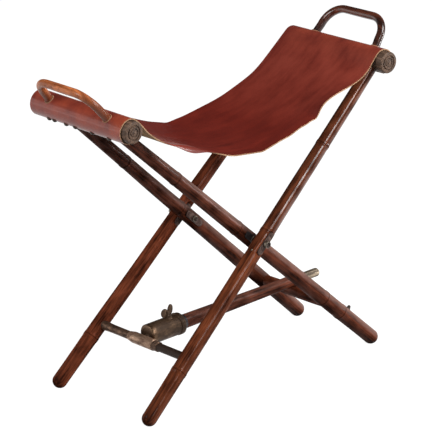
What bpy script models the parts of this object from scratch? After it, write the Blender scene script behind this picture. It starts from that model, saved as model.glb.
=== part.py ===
"""Folding hunting stool: two crossed pairs of cane legs, a leather sling between two wooden rails,
a bentwood hand grip on each rail, and a brace that swings on an iron rod between the outer legs.

Metres, +Z up. The stool opens along X and its rails lie along Y. The origin is on the floor, below
the pivots. Near is the -Y side and far the +Y side. The outer legs carry the right rail (+X) and
stand on the left; the inner legs carry the left rail (-X) and stand on the right.
"""

import math

import bmesh
import bpy
from mathutils import Matrix, Vector

FIT = 0.0003  # gap between pieces that touch
BITE = 0.004  # how far a cutter runs past the surface it cuts
ROUND_STEPS = 24  # facets round a turned piece
LEG_STEPS = 20  # facets round a leg
SMALL_STEPS = 12  # facets round a pin or a tack
HOLE_STEPS = 8  # facets round a tack's hole
DOME_RINGS = 4
FLOOR_BLOCK = 0.040  # side of the block that cuts a foot's worn flat

# Seat rails: turned dowels
RAIL_SPREAD = 0.5668
RAIL_HEIGHT = 0.5174
RAIL_LENGTH = 0.248
RAIL_DIAMETER = 0.038
RAIL_EDGE_ROUND = 0.0025
RAIL_RING_DIAMETER = 0.024
RAIL_RING_DEPTH = 0.0012
RAIL_RING_WIDTH = 0.0022
RAIL_PIP_DIAMETER = 0.006
RAIL_PIP_HEIGHT = 0.0012
RIGHT_RAIL_SHIFT = -0.004  # the right rail stands out further on the near side

# Legs: cane, thickest at the calf
PIVOT_HEIGHT = 0.2564
OUTER_LEG_SPAN = 0.2156  # between the two outer legs, at the pivots
OUTER_SPLAY = math.radians(1.9)
INNER_SPLAY = math.radians(3.1)
LEG_TOP_DIAMETER = 0.0214
LEG_PIVOT_DIAMETER = 0.0260
LEG_CALF_DIAMETER = 0.0274
CALF_FROM_FOOT = 0.110
FOOT_DIAMETER = 0.0262
FOOT_WEAR = 0.0010  # worn flat under each foot
NODE_SWELL = 0.0009
NODE_HALF_LENGTH = 0.0055
PIVOT_NODE_FROM_PIVOT = 0.036
CALF_NODE_FROM_FOOT = 0.094
TENON_DIAMETER = 0.0150
TENON_STOP = 0.004  # from the tenon's end to the rail's axis
TENON_ROOT = 0.016  # length of the tenon inside its leg

# Pivots: a bolt through both legs, iron plates on their four faces
BOLT_DIAMETER = 0.008
BOLT_HEAD_DIAMETER = 0.0125
BOLT_HEAD_HEIGHT = 0.0070
NUT_DIAMETER = 0.0115
NUT_HEIGHT = 0.0058
NUT_CROWN = 0.0029
NUT_WALL = 0.0016
WASHER_DIAMETER = 0.0170
WASHER_THICKNESS = 0.0036
PLATE_LENGTH = 0.045
PLATE_WIDTH = 0.012
PLATE_THICKNESS = 0.0025
PLATE_FLAT_DEPTH = 0.0026
PIN_DIAMETER = 0.0036
PIN_HEIGHT = 0.0008
PIN_FROM_END = 0.0055

# Hand grips: bentwood loops let into the rails
GRIP_DIAMETER = 0.0145
GRIP_FOOT_SPAN = 0.160
GRIP_TOP_SPAN = 0.146
LEFT_GRIP_SHIFT = 0.0040  # along the rail from its middle
RIGHT_GRIP_SHIFT = -0.0045
GRIP_RISE = 0.075  # from the rail's axis to the axis of the loop's top
GRIP_CORNER_RADIUS = 0.038
GRIP_LEAN = math.radians(39)
GRIP_STOP = 0.007  # from the grip's end to the rail's axis
GRIP_CORNER_STEPS = 7
GRIP_BEVEL_RESOLUTION = 4

# Seat: one leather sling
LEATHER_THICKNESS = 0.003
SEAT_WIDTH = 0.235
SEAT_SHIFT = 0.0035  # the leather sits a little to the far side
SEAT_SAG = 0.114
SEAT_LEAVES_RAIL_AT = math.radians(50)  # angles round a rail, from the inward side upwards
SEAT_ENDS_AT = math.radians(268)
SEAT_WRAP_STEPS = 12
SEAT_SAG_STEPS = 20
SEAT_CROSS_STEPS = 8
NEAR_DROOP = 0.007  # the near edge hangs lower beside the left rail
DROOP_AT = -0.210
DROOP_LENGTH = 0.050
NEAR_BUCKLE = 0.020  # and stands up right of the middle
BUCKLE_AT = 0.135
BUCKLE_LENGTH = 0.060
FAR_LIFT = 0.016  # the far edge stands up left of the middle
LIFT_AT = -0.130
LIFT_LENGTH = 0.070

# Tacks under each rail
TACK_PLACES = (0.081, 0.067, 0.036, 0.012, -0.032, -0.076)  # from the rail middle, unevenly set
TACK_RINGS = 3
TACK_HEAD_DIAMETER = 0.0096
TACK_HEAD_HEIGHT = 0.0030
TACK_SHANK_DIAMETER = 0.0024
TACK_SHANK_LENGTH = 0.010
TACKS_AT = math.radians(232)

# Iron rod between the outer legs, and the stop ring on it
ROD_HEIGHT = 0.0945
ROD_DIAMETER = 0.0148
ROD_BITE = 0.005  # how far it runs past the axis of each leg
RING_DIAMETER = 0.0178
RING_LENGTH = 0.0125

# Wooden stretcher between the inner legs
STRETCHER_DIAMETER = 0.0216
STRETCHER_TENON_DIAMETER = 0.014
STRETCHER_BITE = 0.005

# Brace: a sleeve on the iron rod carries a socket, which holds a wooden rod
SLEEVE_DIAMETER = 0.0200
SLEEVE_LENGTH = 0.064
SLEEVE_FAR_END = 0.034
BRACE_RISE = 0.0075  # of the brace's axis over the iron rod's
NECK_DIAMETER = 0.0156
SOCKET_DIAMETER = 0.037
SOCKET_START = 0.0094  # along the brace from the iron rod's axis
SOCKET_LENGTH = 0.0741
SOCKET_CHAMFER = 0.003
SOCKET_FLOOR = 0.012
SOCKET_LIP = 0.0010
SOCKET_LIP_LENGTH = 0.010
BRACE_BUTT_DIAMETER = 0.0254
BRACE_END_DIAMETER = 0.0210
BRACE_TAPER_FROM_END = 0.086
BRACE_PAST_STRETCHER = 0.0196  # from the stretcher's axis to the end of the wood
TIP_DIAMETER = 0.0156
TIP_LENGTH = 0.0335
TIP_TENON_DIAMETER = 0.009
TIP_TENON_LENGTH = 0.020
TIP_CHAMFER = 0.0015

# Thumb screw in the top of the socket
SCREW_AT = 0.0565
SCREW_BOSS_DIAMETER = 0.0150
SCREW_BOSS_HEIGHT = 0.0025
SCREW_DIAMETER = 0.006
SCREW_BASE_DIAMETER = 0.0130
SCREW_STEM_HEIGHT = 0.007
SCREW_RIM_HEIGHT = 0.0018
SCREW_RIM_SLOPE = 0.0017
SCREW_NECK_DIAMETER = 0.009
WING_LENGTH = 0.0085
WING_HEIGHT = 0.0105
WING_THICKNESS = 0.0022
WING_REACH = 0.0073  # from the screw's axis to the middle of a wing
WING_RISE = 0.0053  # from the stem to the middle of a wing
WING_TILT = math.radians(24)
WING_TURN = math.radians(5)

# Iron stud on the near inner leg
STUD_DIAMETER = 0.005
STUD_STANDS = 0.005
STUD_DEPTH = 0.007
STUD_FROM_FOOT = 0.080

# Worked out from the sizes above
RAIL_X = RAIL_SPREAD / 2
RAIL_RADIUS = RAIL_DIAMETER / 2
LEAN = math.atan2(RAIL_X, RAIL_HEIGHT - PIVOT_HEIGHT)
FLAT_FROM_AXIS = LEG_PIVOT_DIAMETER / 2 - PLATE_FLAT_DEPTH
PLATE_FACE = FLAT_FROM_AXIS + FIT + PLATE_THICKNESS  # outer face of a plate, from its leg's axis
OUTER_PIVOT_Y = OUTER_LEG_SPAN / 2
INNER_PIVOT_Y = OUTER_PIVOT_Y - 2 * PLATE_FACE - WASHER_THICKNESS - 2 * FIT
FOOT_HEIGHT = FOOT_DIAMETER / 2 - FOOT_WEAR
SEAT_RADIUS = RAIL_RADIUS + FIT + LEATHER_THICKNESS / 2  # middle of the leather round a rail
LEATHER_FACE = SEAT_RADIUS + LEATHER_THICKNESS / 2
ROD_X = (PIVOT_HEIGHT - ROD_HEIGHT) * math.tan(LEAN)
SOCKET_BORE_RADIUS = BRACE_BUTT_DIAMETER / 2 + FIT
BRACE_REST = (STRETCHER_DIAMETER + BRACE_END_DIAMETER) / 2 + FIT
BRACE_TILT = math.asin((BRACE_REST - BRACE_RISE) / (2 * ROD_X))
BRACE_END = 2 * ROD_X * math.cos(BRACE_TILT) + BRACE_PAST_STRETCHER  # from the iron rod's axis
SCREW_SEAT = SOCKET_DIAMETER / 2 + SCREW_BOSS_HEIGHT  # top of the boss, from the brace's axis

PIVOT = Vector((0, 0, PIVOT_HEIGHT))
ROD_AXIS = Vector((-ROD_X, 0, ROD_HEIGHT))
ALONG_X = Vector((1, 0, 0))
ALONG_Y = Vector((0, 1, 0))
UP = Vector((0, 0, 1))
SIDES = {"near": -1, "far": 1}


def clear_scene():
    for obj in list(bpy.data.objects):
        bpy.data.objects.remove(obj)


def new_collection(name):
    collection = bpy.data.collections.new(name)
    bpy.context.scene.collection.children.link(collection)
    return collection


def new_finish(name, colour, roughness, metallic=0.0):
    material = bpy.data.materials.new(name)
    material.use_nodes = True
    shader = material.node_tree.nodes["Principled BSDF"]
    shader.inputs["Base Color"].default_value = (*colour, 1)
    shader.inputs["Roughness"].default_value = roughness
    shader.inputs["Metallic"].default_value = metallic
    return material


clear_scene()
STOOL = new_collection("folding_hunting_stool")
CUTTERS = new_collection("cutters")
DARK_CANE = new_finish("dark_cane", (0.075, 0.025, 0.013), 0.32)
WARM_CANE = new_finish("warm_cane", (0.16, 0.045, 0.015), 0.30)
PALE_BENTWOOD = new_finish("pale_bentwood", (0.43, 0.13, 0.045), 0.40)
RAIL_WOOD = new_finish("rail_wood", (0.11, 0.08, 0.06), 0.55)
LEATHER = new_finish("leather", (0.19, 0.028, 0.02), 0.38)
IRON = new_finish("iron", (0.20, 0.13, 0.09), 0.50, 0.9)
BRONZE = new_finish("bronze", (0.11, 0.07, 0.035), 0.45, 0.9)
BRASS = new_finish("brass", (0.42, 0.32, 0.16), 0.35, 1.0)


def new_pivot(name, location):
    """An empty on a joint's axis, which the pieces that move there hang on."""
    empty = bpy.data.objects.new(name, None)
    empty.location = location
    STOOL.objects.link(empty)
    return empty


OUTER_FRAME = new_pivot("outer_frame", PIVOT)
INNER_FRAME = new_pivot("inner_frame", PIVOT)
BRACE_PIVOT = new_pivot("brace_pivot", ROD_AXIS)


def axes_at(origin, z_axis, x_hint):
    """A placement at origin with local Z along z_axis and local X towards x_hint."""
    z = Vector(z_axis).normalized()
    y = z.cross(x_hint).normalized()
    x = y.cross(z)
    placement = Matrix((x, y, z)).transposed().to_4x4()
    placement.translation = origin
    return placement


def add_piece(name, data, placement, frame, finish):
    """A piece of the stool at its world placement, hung on its frame's empty."""
    piece = bpy.data.objects.new(name, data)
    STOOL.objects.link(piece)
    piece.parent = frame
    piece.matrix_parent_inverse = Matrix.Translation(frame.location).inverted()
    piece.matrix_basis = placement
    data.materials.append(finish)
    return piece


def add_cutter(name, mesh, placement):
    """A helper shape that Booleans use and that isn't a piece itself."""
    cutter = bpy.data.objects.new(name, mesh)
    CUTTERS.objects.link(cutter)
    cutter.matrix_basis = placement
    cutter.hide_render = True
    cutter.display_type = "WIRE"
    return cutter


def mesh_from(name, shape):
    mesh = bpy.data.meshes.new(name)
    shape.to_mesh(mesh)
    shape.free()
    return mesh


def cylinder_mesh(name, radius, bottom, top, steps=ROUND_STEPS):
    shape = bmesh.new()
    middle = Matrix.Translation((0, 0, (bottom + top) / 2))
    bmesh.ops.create_cone(
        shape, cap_ends=True, segments=steps, radius1=radius, radius2=radius,
        depth=top - bottom, matrix=middle,
    )
    return mesh_from(name, shape)


def box_mesh(name, low, high):
    shape = bmesh.new()
    size = [b - a for a, b in zip(low, high)]
    middle = [(a + b) / 2 for a, b in zip(low, high)]
    bmesh.ops.create_cube(shape, size=1, matrix=Matrix.LocRotScale(middle, None, size))
    return mesh_from(name, shape)


def turned_mesh(name, profile):
    """The line that a Screw modifier turns about local Z: (radius, height) pairs, top to bottom."""
    mesh = bpy.data.meshes.new(name)
    points = [(radius, 0, height) for radius, height in profile]
    mesh.from_pydata(points, [(i, i + 1) for i in range(len(points) - 1)], [])
    return mesh


def turn(piece, steps):
    screw = piece.modifiers.new("turn", "SCREW")
    screw.steps = steps
    screw.render_steps = steps
    screw.use_merge_vertices = True
    screw.merge_threshold = 1e-5


def add_turned(name, profile, placement, frame, finish, steps=ROUND_STEPS):
    piece = add_piece(name, turned_mesh(name, profile), placement, frame, finish)
    turn(piece, steps)
    return piece


def combine(piece, other, operation="DIFFERENCE"):
    boolean = piece.modifiers.new(other.name, "BOOLEAN")
    boolean.operation = operation
    boolean.object = other


def dome(radius, height, base, rings=DOME_RINGS):
    """Points of a dome from its crown down to its rim, which lies at base."""
    points = []
    for ring in range(rings + 1):
        angle = math.pi / 2 * ring / rings
        points.append((radius * math.sin(angle), base + height * math.cos(angle)))
    return points


def leg_line(outer, side):
    """The point where a leg's axis meets its pivot, and the leg's upward direction."""
    half_span, splay, reach = (
        (OUTER_PIVOT_Y, OUTER_SPLAY, 1) if outer else (INNER_PIVOT_Y, INNER_SPLAY, -1)
    )
    direction = Vector((reach * math.sin(LEAN), -side * math.tan(splay), math.cos(LEAN)))
    return PIVOT + side * half_span * ALONG_Y, direction.normalized()


def on_leg(outer, side, height):
    point, direction = leg_line(outer, side)
    return point + direction * ((height - point.z) / direction.z)


def along_leg(outer, side, height):
    """Distance along a leg from its pivot up to this height."""
    point, direction = leg_line(outer, side)
    return (height - point.z) / direction.z


def leg_radius(height, top, foot):
    """Radius of a leg's shaft at a distance above its pivot."""
    stations = [
        (top, LEG_TOP_DIAMETER / 2),
        (0, LEG_PIVOT_DIAMETER / 2),
        (foot + CALF_FROM_FOOT, LEG_CALF_DIAMETER / 2),
        (foot, FOOT_DIAMETER / 2),
    ]
    for (high, wide), (low, narrow) in zip(stations, stations[1:]):
        if height >= low:
            return narrow + (wide - narrow) * (height - low) / (high - low)
    return FOOT_DIAMETER / 2


def leg_profile(top, foot):
    """Outline of a leg from the rail's axis down to its rounded foot."""
    profile = [(0, top), (leg_radius(top, top, foot), top)]
    calf = foot + CALF_FROM_FOOT
    heights = {0: 0, calf: 0}
    for node in (PIVOT_NODE_FROM_PIVOT, foot + CALF_NODE_FROM_FOOT):
        heights[node + NODE_HALF_LENGTH] = 0
        heights[node] = NODE_SWELL
        heights[node - NODE_HALF_LENGTH] = 0
    for height in sorted(heights, reverse=True):
        profile.append((leg_radius(height, top, foot) + heights[height], height))
    rounded = [(radius, 2 * foot - height) for radius, height in
               dome(FOOT_DIAMETER / 2, FOOT_DIAMETER / 2, foot)]
    return profile + rounded[::-1]


def rail_axis(right):
    return Vector((RAIL_X if right else -RAIL_X, 0, RAIL_HEIGHT))


def round_rail(right, angle):
    """Direction out of a rail's axis, turned by an angle from the inward side upwards."""
    inward = -1 if right else 1
    return Vector((inward * math.cos(angle), 0, math.sin(angle)))


def leg_placement(outer, side):
    point, direction = leg_line(outer, side)
    return axes_at(point, direction, ALONG_Y)


def add_leg(outer, side_name):
    side = SIDES[side_name]
    name = f"{'outer' if outer else 'inner'}_leg_{side_name}"
    top = along_leg(outer, side, RAIL_HEIGHT)
    foot = along_leg(outer, side, FOOT_HEIGHT)
    placement = leg_placement(outer, side)
    frame = OUTER_FRAME if outer else INNER_FRAME
    finish = WARM_CANE if name == "outer_leg_near" else DARK_CANE
    leg = add_turned(name, leg_profile(top, foot), placement, frame, finish, LEG_STEPS)

    rail_seat = cylinder_mesh(f"{name}_rail_seat", RAIL_RADIUS + FIT, -RAIL_LENGTH, RAIL_LENGTH)
    combine(leg, add_cutter(rail_seat.name, rail_seat, axes_at(rail_axis(outer), ALONG_Y, UP)))
    tenon = cylinder_mesh(
        f"{name}_tenon", TENON_DIAMETER / 2, top - RAIL_RADIUS - TENON_ROOT, top - TENON_STOP
    )
    combine(leg, add_cutter(tenon.name, tenon, placement), "UNION")
    half_block = FLOOR_BLOCK / 2
    floor = box_mesh(
        f"{name}_floor", (-half_block, -half_block, -FLOOR_BLOCK), (half_block, half_block, 0)
    )
    below = on_leg(outer, side, FOOT_HEIGHT)
    below.z = 0
    combine(leg, add_cutter(floor.name, floor, Matrix.Translation(below)))
    return leg


def pivot_flat(outer, side, outward):
    """Where a plate lies on a leg: local X along the leg, local Z out of the flat."""
    point, direction = leg_line(outer, side)
    lengthwise = Vector((direction.x, 0, direction.z))
    facing = outward * side * ALONG_Y
    return axes_at(point + facing * FLAT_FROM_AXIS, facing, lengthwise)


def stadium_curve(name, length, width, thickness):
    """A flat bar with round ends, lying on local Z = 0."""
    curve = bpy.data.curves.new(name, "CURVE")
    curve.dimensions = "2D"
    curve.fill_mode = "BOTH"
    curve.extrude = thickness / 2
    spline = curve.splines.new("POLY")
    corners = []
    for end in (1, -1):
        for step in range(SMALL_STEPS // 2 + 1):
            angle = math.pi * step / (SMALL_STEPS // 2) - math.pi / 2
            x = end * (length / 2 - width / 2 + width / 2 * math.cos(angle))
            corners.append((x, end * width / 2 * math.sin(angle)))
    spline.points.add(len(corners) - 1)
    for point, (x, y) in zip(spline.points, corners):
        point.co = (x, y, thickness / 2, 1)
    spline.use_cyclic_u = True
    return curve


def mesh_of_curve(name, curve):
    """The closed mesh of a curve, so that Booleans can cut it."""
    holder = bpy.data.objects.new(name, curve)
    CUTTERS.objects.link(holder)
    bpy.context.view_layer.update()
    graph = bpy.context.evaluated_depsgraph_get()
    mesh = bpy.data.meshes.new_from_object(holder.evaluated_get(graph))
    bpy.data.objects.remove(holder)
    shape = bmesh.new()
    shape.from_mesh(mesh)
    bmesh.ops.remove_doubles(shape, verts=shape.verts, dist=1e-6)
    shape.to_mesh(mesh)
    shape.free()
    mesh.materials.clear()
    return mesh


def add_plate(outer, side_name, outward, name, pinned):
    """An iron plate in its flat on a leg, with its bolt hole and, where they show, its pin heads."""
    side = SIDES[side_name]
    placement = pivot_flat(outer, side, outward) @ Matrix.Translation((0, 0, FIT))
    mesh = mesh_of_curve(name, stadium_curve(name, PLATE_LENGTH, PLATE_WIDTH, PLATE_THICKNESS))
    plate = add_piece(name, mesh, placement, OUTER_FRAME if outer else INNER_FRAME, IRON)
    if pinned:
        for end in (-1, 1):
            pin = cylinder_mesh(
                f"{name}_pin", PIN_DIAMETER / 2, PLATE_THICKNESS / 2,
                PLATE_THICKNESS + PIN_HEIGHT, SMALL_STEPS,
            )
            shift = Matrix.Translation((end * (PLATE_LENGTH / 2 - PIN_FROM_END), 0, 0))
            combine(plate, add_cutter(pin.name, pin, placement @ shift), "UNION")
    return plate


def add_crossing(side_name):
    """One pivot: a bolt through the outer and the inner leg, their plates, a washer and a cap nut."""
    side = SIDES[side_name]
    facing = side * ALONG_Y
    centre = PIVOT + facing * OUTER_PIVOT_Y
    head_seat = PLATE_FACE + FIT
    nut_seat = INNER_PIVOT_Y - OUTER_PIVOT_Y - PLATE_FACE - FIT
    bolt_end = nut_seat - NUT_HEIGHT + NUT_WALL + FIT
    placement = axes_at(centre, facing, ALONG_X)

    bolt_radius = BOLT_DIAMETER / 2
    bolt = dome(BOLT_HEAD_DIAMETER / 2, BOLT_HEAD_HEIGHT, head_seat)
    bolt += [(bolt_radius, head_seat), (bolt_radius, bolt_end), (0, bolt_end)]
    add_turned(f"pivot_bolt_{side_name}", bolt, placement, OUTER_FRAME, IRON)

    bore = bolt_radius + FIT
    nut_dome = [(radius, nut_seat - NUT_HEIGHT + NUT_CROWN - height) for radius, height in
                dome(NUT_DIAMETER / 2, NUT_CROWN, 0)]
    nut = [(0, bolt_end - FIT), (bore, bolt_end - FIT), (bore, nut_seat)]
    nut += [(NUT_DIAMETER / 2, nut_seat)] + nut_dome[::-1]
    add_turned(f"pivot_nut_{side_name}", nut, placement, OUTER_FRAME, IRON)

    washer_face = -PLATE_FACE - FIT
    washer_back = washer_face - WASHER_THICKNESS
    washer = [(bore, washer_back), (bore, washer_face)]
    washer += [(WASHER_DIAMETER / 2, washer_face), (WASHER_DIAMETER / 2, washer_back), (bore, washer_back)]
    add_turned(f"pivot_washer_{side_name}", washer, placement, OUTER_FRAME, IRON)

    through = cylinder_mesh(
        f"pivot_bore_{side_name}", bore, nut_seat - BITE, head_seat + BITE
    )
    bolt_bore = add_cutter(through.name, through, placement)
    for outer, outward, kind, pinned in (
        (True, 1, "outer_strap_plate", True),
        (True, -1, "outer_wear_plate", False),
        (False, 1, "inner_wear_plate", False),
        (False, -1, "inner_strap_plate", True),
    ):
        plate = add_plate(outer, side_name, outward, f"{kind}_{side_name}", pinned)
        combine(plate, bolt_bore)
        half_length = PLATE_LENGTH / 2 + FIT
        flat = box_mesh(
            f"{kind}_flat_{side_name}",
            (-half_length, -LEG_PIVOT_DIAMETER, 0),
            (half_length, LEG_PIVOT_DIAMETER, LEG_PIVOT_DIAMETER / 2),
        )
        leg = LEGS[outer, side_name]
        combine(leg, add_cutter(flat.name, flat, pivot_flat(outer, side, outward)))
    for outer in (True, False):
        combine(LEGS[outer, side_name], bolt_bore)


def grip_axis(right):
    """The point on a rail's axis that its grip is centred on."""
    return rail_axis(right) + (RIGHT_GRIP_SHIFT if right else LEFT_GRIP_SHIFT) * ALONG_Y


def grip_foot(right, side, distance):
    """A point on a grip's straight side, at a distance from the rail's axis."""
    outward = round_rail(right, math.pi / 2 + GRIP_LEAN)
    share = distance / (GRIP_RISE - GRIP_CORNER_RADIUS)
    half_span = (GRIP_FOOT_SPAN + (GRIP_TOP_SPAN - GRIP_FOOT_SPAN) * share) / 2
    return grip_axis(right) + outward * distance + side * half_span * ALONG_Y


def add_grip(right):
    """A bent round rod: two straight sides and a top bar with round corners."""
    outward = round_rail(right, math.pi / 2 + GRIP_LEAN)
    corner = grip_axis(right) + outward * (GRIP_RISE - GRIP_CORNER_RADIUS)
    inset = GRIP_TOP_SPAN / 2 - GRIP_CORNER_RADIUS
    points = [grip_foot(right, -1, GRIP_STOP)]
    for side in (-1, 1):
        bend = []
        for step in range(GRIP_CORNER_STEPS + 1):
            angle = math.pi / 2 * step / GRIP_CORNER_STEPS
            reach = inset + GRIP_CORNER_RADIUS * math.cos(angle)
            bend.append(corner + outward * GRIP_CORNER_RADIUS * math.sin(angle) + side * reach * ALONG_Y)
        points += bend if side < 0 else bend[::-1]
    points.append(grip_foot(right, 1, GRIP_STOP))

    name = f"{'right' if right else 'left'}_hand_grip"
    curve = bpy.data.curves.new(name, "CURVE")
    curve.dimensions = "3D"
    curve.bevel_depth = GRIP_DIAMETER / 2
    curve.bevel_resolution = GRIP_BEVEL_RESOLUTION
    curve.use_fill_caps = True
    spline = curve.splines.new("POLY")
    spline.points.add(len(points) - 1)
    for point, place in zip(spline.points, points):
        point.co = (*place, 1)
    frame = OUTER_FRAME if right else INNER_FRAME
    add_piece(name, curve, Matrix(), frame, DARK_CANE if right else PALE_BENTWOOD)


def grip_holes(right):
    """Cutters for the two holes that a grip's ends sit in, through the leather and into the rail."""
    holes = []
    for side in (-1, 1):
        bottom = grip_foot(right, side, GRIP_STOP)
        top = grip_foot(right, side, LEATHER_FACE + BITE)
        hole = cylinder_mesh(
            f"grip_hole_{'right' if right else 'left'}", GRIP_DIAMETER / 2 + FIT, -FIT,
            (top - bottom).length,
        )
        holes.append(add_cutter(hole.name, hole, axes_at(bottom, top - bottom, ALONG_Y)))
    return holes


def tack_places(right):
    """Where each tack sits on the leather, local Z out of the rail."""
    out = round_rail(right, TACKS_AT)
    for along in TACK_PLACES:
        yield axes_at(rail_axis(right) + out * (LEATHER_FACE + FIT) + along * ALONG_Y, out, ALONG_Y)


def add_tacks(right):
    """Dome-headed tacks, and the cutters for their holes."""
    name = "right" if right else "left"
    shank = TACK_SHANK_DIAMETER / 2
    profile = dome(TACK_HEAD_DIAMETER / 2, TACK_HEAD_HEIGHT, 0, TACK_RINGS)
    profile += [(shank, 0), (shank, -TACK_SHANK_LENGTH + 2 * shank), (0, -TACK_SHANK_LENGTH)]
    frame = OUTER_FRAME if right else INNER_FRAME
    holes = []
    for index, placement in enumerate(tack_places(right), 1):
        add_turned(f"{name}_tack_{index}", profile, placement, frame, IRON, SMALL_STEPS)
        hole = cylinder_mesh(
            f"{name}_tack_hole", shank + FIT, -TACK_SHANK_LENGTH - FIT, BITE, HOLE_STEPS
        )
        holes.append(add_cutter(hole.name, hole, placement))
    return holes


def add_rail(right, holes):
    """A turned dowel with a ring and a pip in each end, bored for its legs, grip and tacks."""
    half = RAIL_LENGTH / 2
    ring = RAIL_RING_DIAMETER / 2
    end = [
        (0, half + RAIL_PIP_HEIGHT - RAIL_RING_DEPTH),
        (RAIL_PIP_DIAMETER / 2, half - RAIL_RING_DEPTH),
        (ring - RAIL_RING_WIDTH, half - RAIL_RING_DEPTH),
        (ring, half),
        (RAIL_RADIUS - RAIL_EDGE_ROUND, half),
        (RAIL_RADIUS, half - RAIL_EDGE_ROUND),
    ]
    profile = end + [(radius, -height) for radius, height in reversed(end)]
    name = f"{'right' if right else 'left'}_seat_rail"
    middle = rail_axis(right) + (RIGHT_RAIL_SHIFT if right else 0) * ALONG_Y
    placement = axes_at(middle, ALONG_Y, UP)
    frame = OUTER_FRAME if right else INNER_FRAME
    rail = add_turned(name, profile, placement, frame, RAIL_WOOD)
    for side in SIDES.values():
        top = along_leg(right, side, RAIL_HEIGHT)
        mortise = cylinder_mesh(
            f"{name}_mortise", TENON_DIAMETER / 2 + FIT, top - RAIL_DIAMETER, top - TENON_STOP + FIT
        )
        combine(rail, add_cutter(mortise.name, mortise, leg_placement(right, side)))
    for hole in holes:
        combine(rail, hole)


def seat_stations():
    """Points of the sling's middle line from the left tacked end to the right one."""
    wrap = []
    turn_per_step = (SEAT_LEAVES_RAIL_AT - SEAT_ENDS_AT) / SEAT_WRAP_STEPS
    corner_radius = SEAT_RADIUS / math.cos(turn_per_step / 2)  # so that the flats clear the rail
    for step in range(SEAT_WRAP_STEPS + 1):
        angle = SEAT_ENDS_AT + turn_per_step * step
        wrap.append(rail_axis(False) + round_rail(False, angle) * corner_radius)
    leave = wrap[-1]
    curl = -leave.x / math.tan(SEAT_LEAVES_RAIL_AT) / SEAT_SAG  # makes the sag leave the rail smoothly
    stations = list(wrap)
    for step in range(1, SEAT_SAG_STEPS):
        x = leave.x * (1 - 2 * step / SEAT_SAG_STEPS)
        drop = SEAT_SAG * (1 - abs(x / leave.x) ** curl)
        stations.append(Vector((x, 0, leave.z - drop)))
    return stations + [Vector((-point.x, 0, point.z)) for point in reversed(wrap)]


def hump(x, middle, length):
    return math.exp(-(((x - middle) / length) ** 2))


def seat_wave(x, y):
    """How far the sling's free edges stand off its plain sag."""
    near = max(-y / (SEAT_WIDTH / 2), 0) ** 2
    far = max(y / (SEAT_WIDTH / 2), 0) ** 2
    droop = NEAR_DROOP * hump(x, DROOP_AT, DROOP_LENGTH)
    buckle = NEAR_BUCKLE * hump(x, BUCKLE_AT, BUCKLE_LENGTH)
    lift = FAR_LIFT * hump(x, LIFT_AT, LIFT_LENGTH)
    return near * (buckle - droop) + far * lift


def add_seat(holes):
    """The leather: wrapped round both rails and sagging between them."""
    stations = seat_stations()
    shape = bmesh.new()
    bmesh.ops.create_grid(
        shape, x_segments=len(stations) - 1, y_segments=SEAT_CROSS_STEPS, size=1
    )
    for vertex in shape.verts:
        index = round((vertex.co.x + 1) / 2 * (len(stations) - 1))
        y = vertex.co.y * SEAT_WIDTH / 2
        place = stations[index] + (y + SEAT_SHIFT) * ALONG_Y
        if SEAT_WRAP_STEPS < index < len(stations) - 1 - SEAT_WRAP_STEPS:
            place.z += seat_wave(place.x, y)
        vertex.co = place
    bmesh.ops.recalc_face_normals(shape, faces=shape.faces)
    mesh = mesh_from("seat_sling", shape)
    seat = add_piece("seat_sling", mesh, Matrix(), OUTER_FRAME, LEATHER)
    hide = seat.modifiers.new("thickness", "SOLIDIFY")
    hide.thickness = LEATHER_THICKNESS
    hide.offset = 0
    hide.use_even_offset = True
    for hole in holes:
        combine(seat, hole)
    seat.data.shade_smooth()


def add_iron_rod():
    """The rod across the outer legs, let into a hole in each, and its stop ring."""
    end = on_leg(True, 1, ROD_HEIGHT).y + ROD_BITE
    radius = ROD_DIAMETER / 2
    placement = axes_at(ROD_AXIS, ALONG_Y, UP)
    rod = [(0, end), (radius, end), (radius, -end), (0, -end)]
    add_turned("iron_cross_rod", rod, placement, OUTER_FRAME, IRON)
    hole = cylinder_mesh("iron_rod_hole", radius + FIT, -end - FIT, end + FIT)
    cutter = add_cutter(hole.name, hole, placement)
    for side_name in SIDES:
        combine(LEGS[True, side_name], cutter)

    ring_end = SLEEVE_FAR_END - SLEEVE_LENGTH - FIT
    bore = radius + FIT
    ring = [
        (bore, ring_end - RING_LENGTH),
        (bore, ring_end),
        (RING_DIAMETER / 2, ring_end),
        (RING_DIAMETER / 2, ring_end - RING_LENGTH),
        (bore, ring_end - RING_LENGTH),
    ]
    add_turned("sleeve_stop_ring", ring, placement, OUTER_FRAME, IRON)


def add_stretcher():
    """The wooden bar across the inner legs, with a turned tenon in each."""
    leg_axis = on_leg(False, 1, ROD_HEIGHT)
    radius = STRETCHER_DIAMETER / 2
    tenon = STRETCHER_TENON_DIAMETER / 2
    top = along_leg(False, 1, RAIL_HEIGHT)
    foot = along_leg(False, 1, FOOT_HEIGHT)
    beside = leg_radius(along_leg(False, 1, ROD_HEIGHT), top, foot)
    tallest = radius * math.sin(INNER_SPLAY)  # the leg leans in over the bar's shoulder
    shoulder = leg_axis.y - beside / math.cos(INNER_SPLAY) - tallest - NODE_SWELL - FIT
    end = leg_axis.y + STRETCHER_BITE
    half = [(0, end), (tenon, end), (tenon, shoulder), (radius, shoulder)]
    profile = half + [(r, -height) for r, height in reversed(half)]
    placement = axes_at((leg_axis.x, 0, ROD_HEIGHT), ALONG_Y, UP)
    add_turned("wood_stretcher", profile, placement, INNER_FRAME, DARK_CANE)
    hole = cylinder_mesh("stretcher_hole", tenon + FIT, -end - FIT, end + FIT)
    cutter = add_cutter(hole.name, hole, placement)
    for side_name in SIDES:
        combine(LEGS[False, side_name], cutter)


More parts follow.
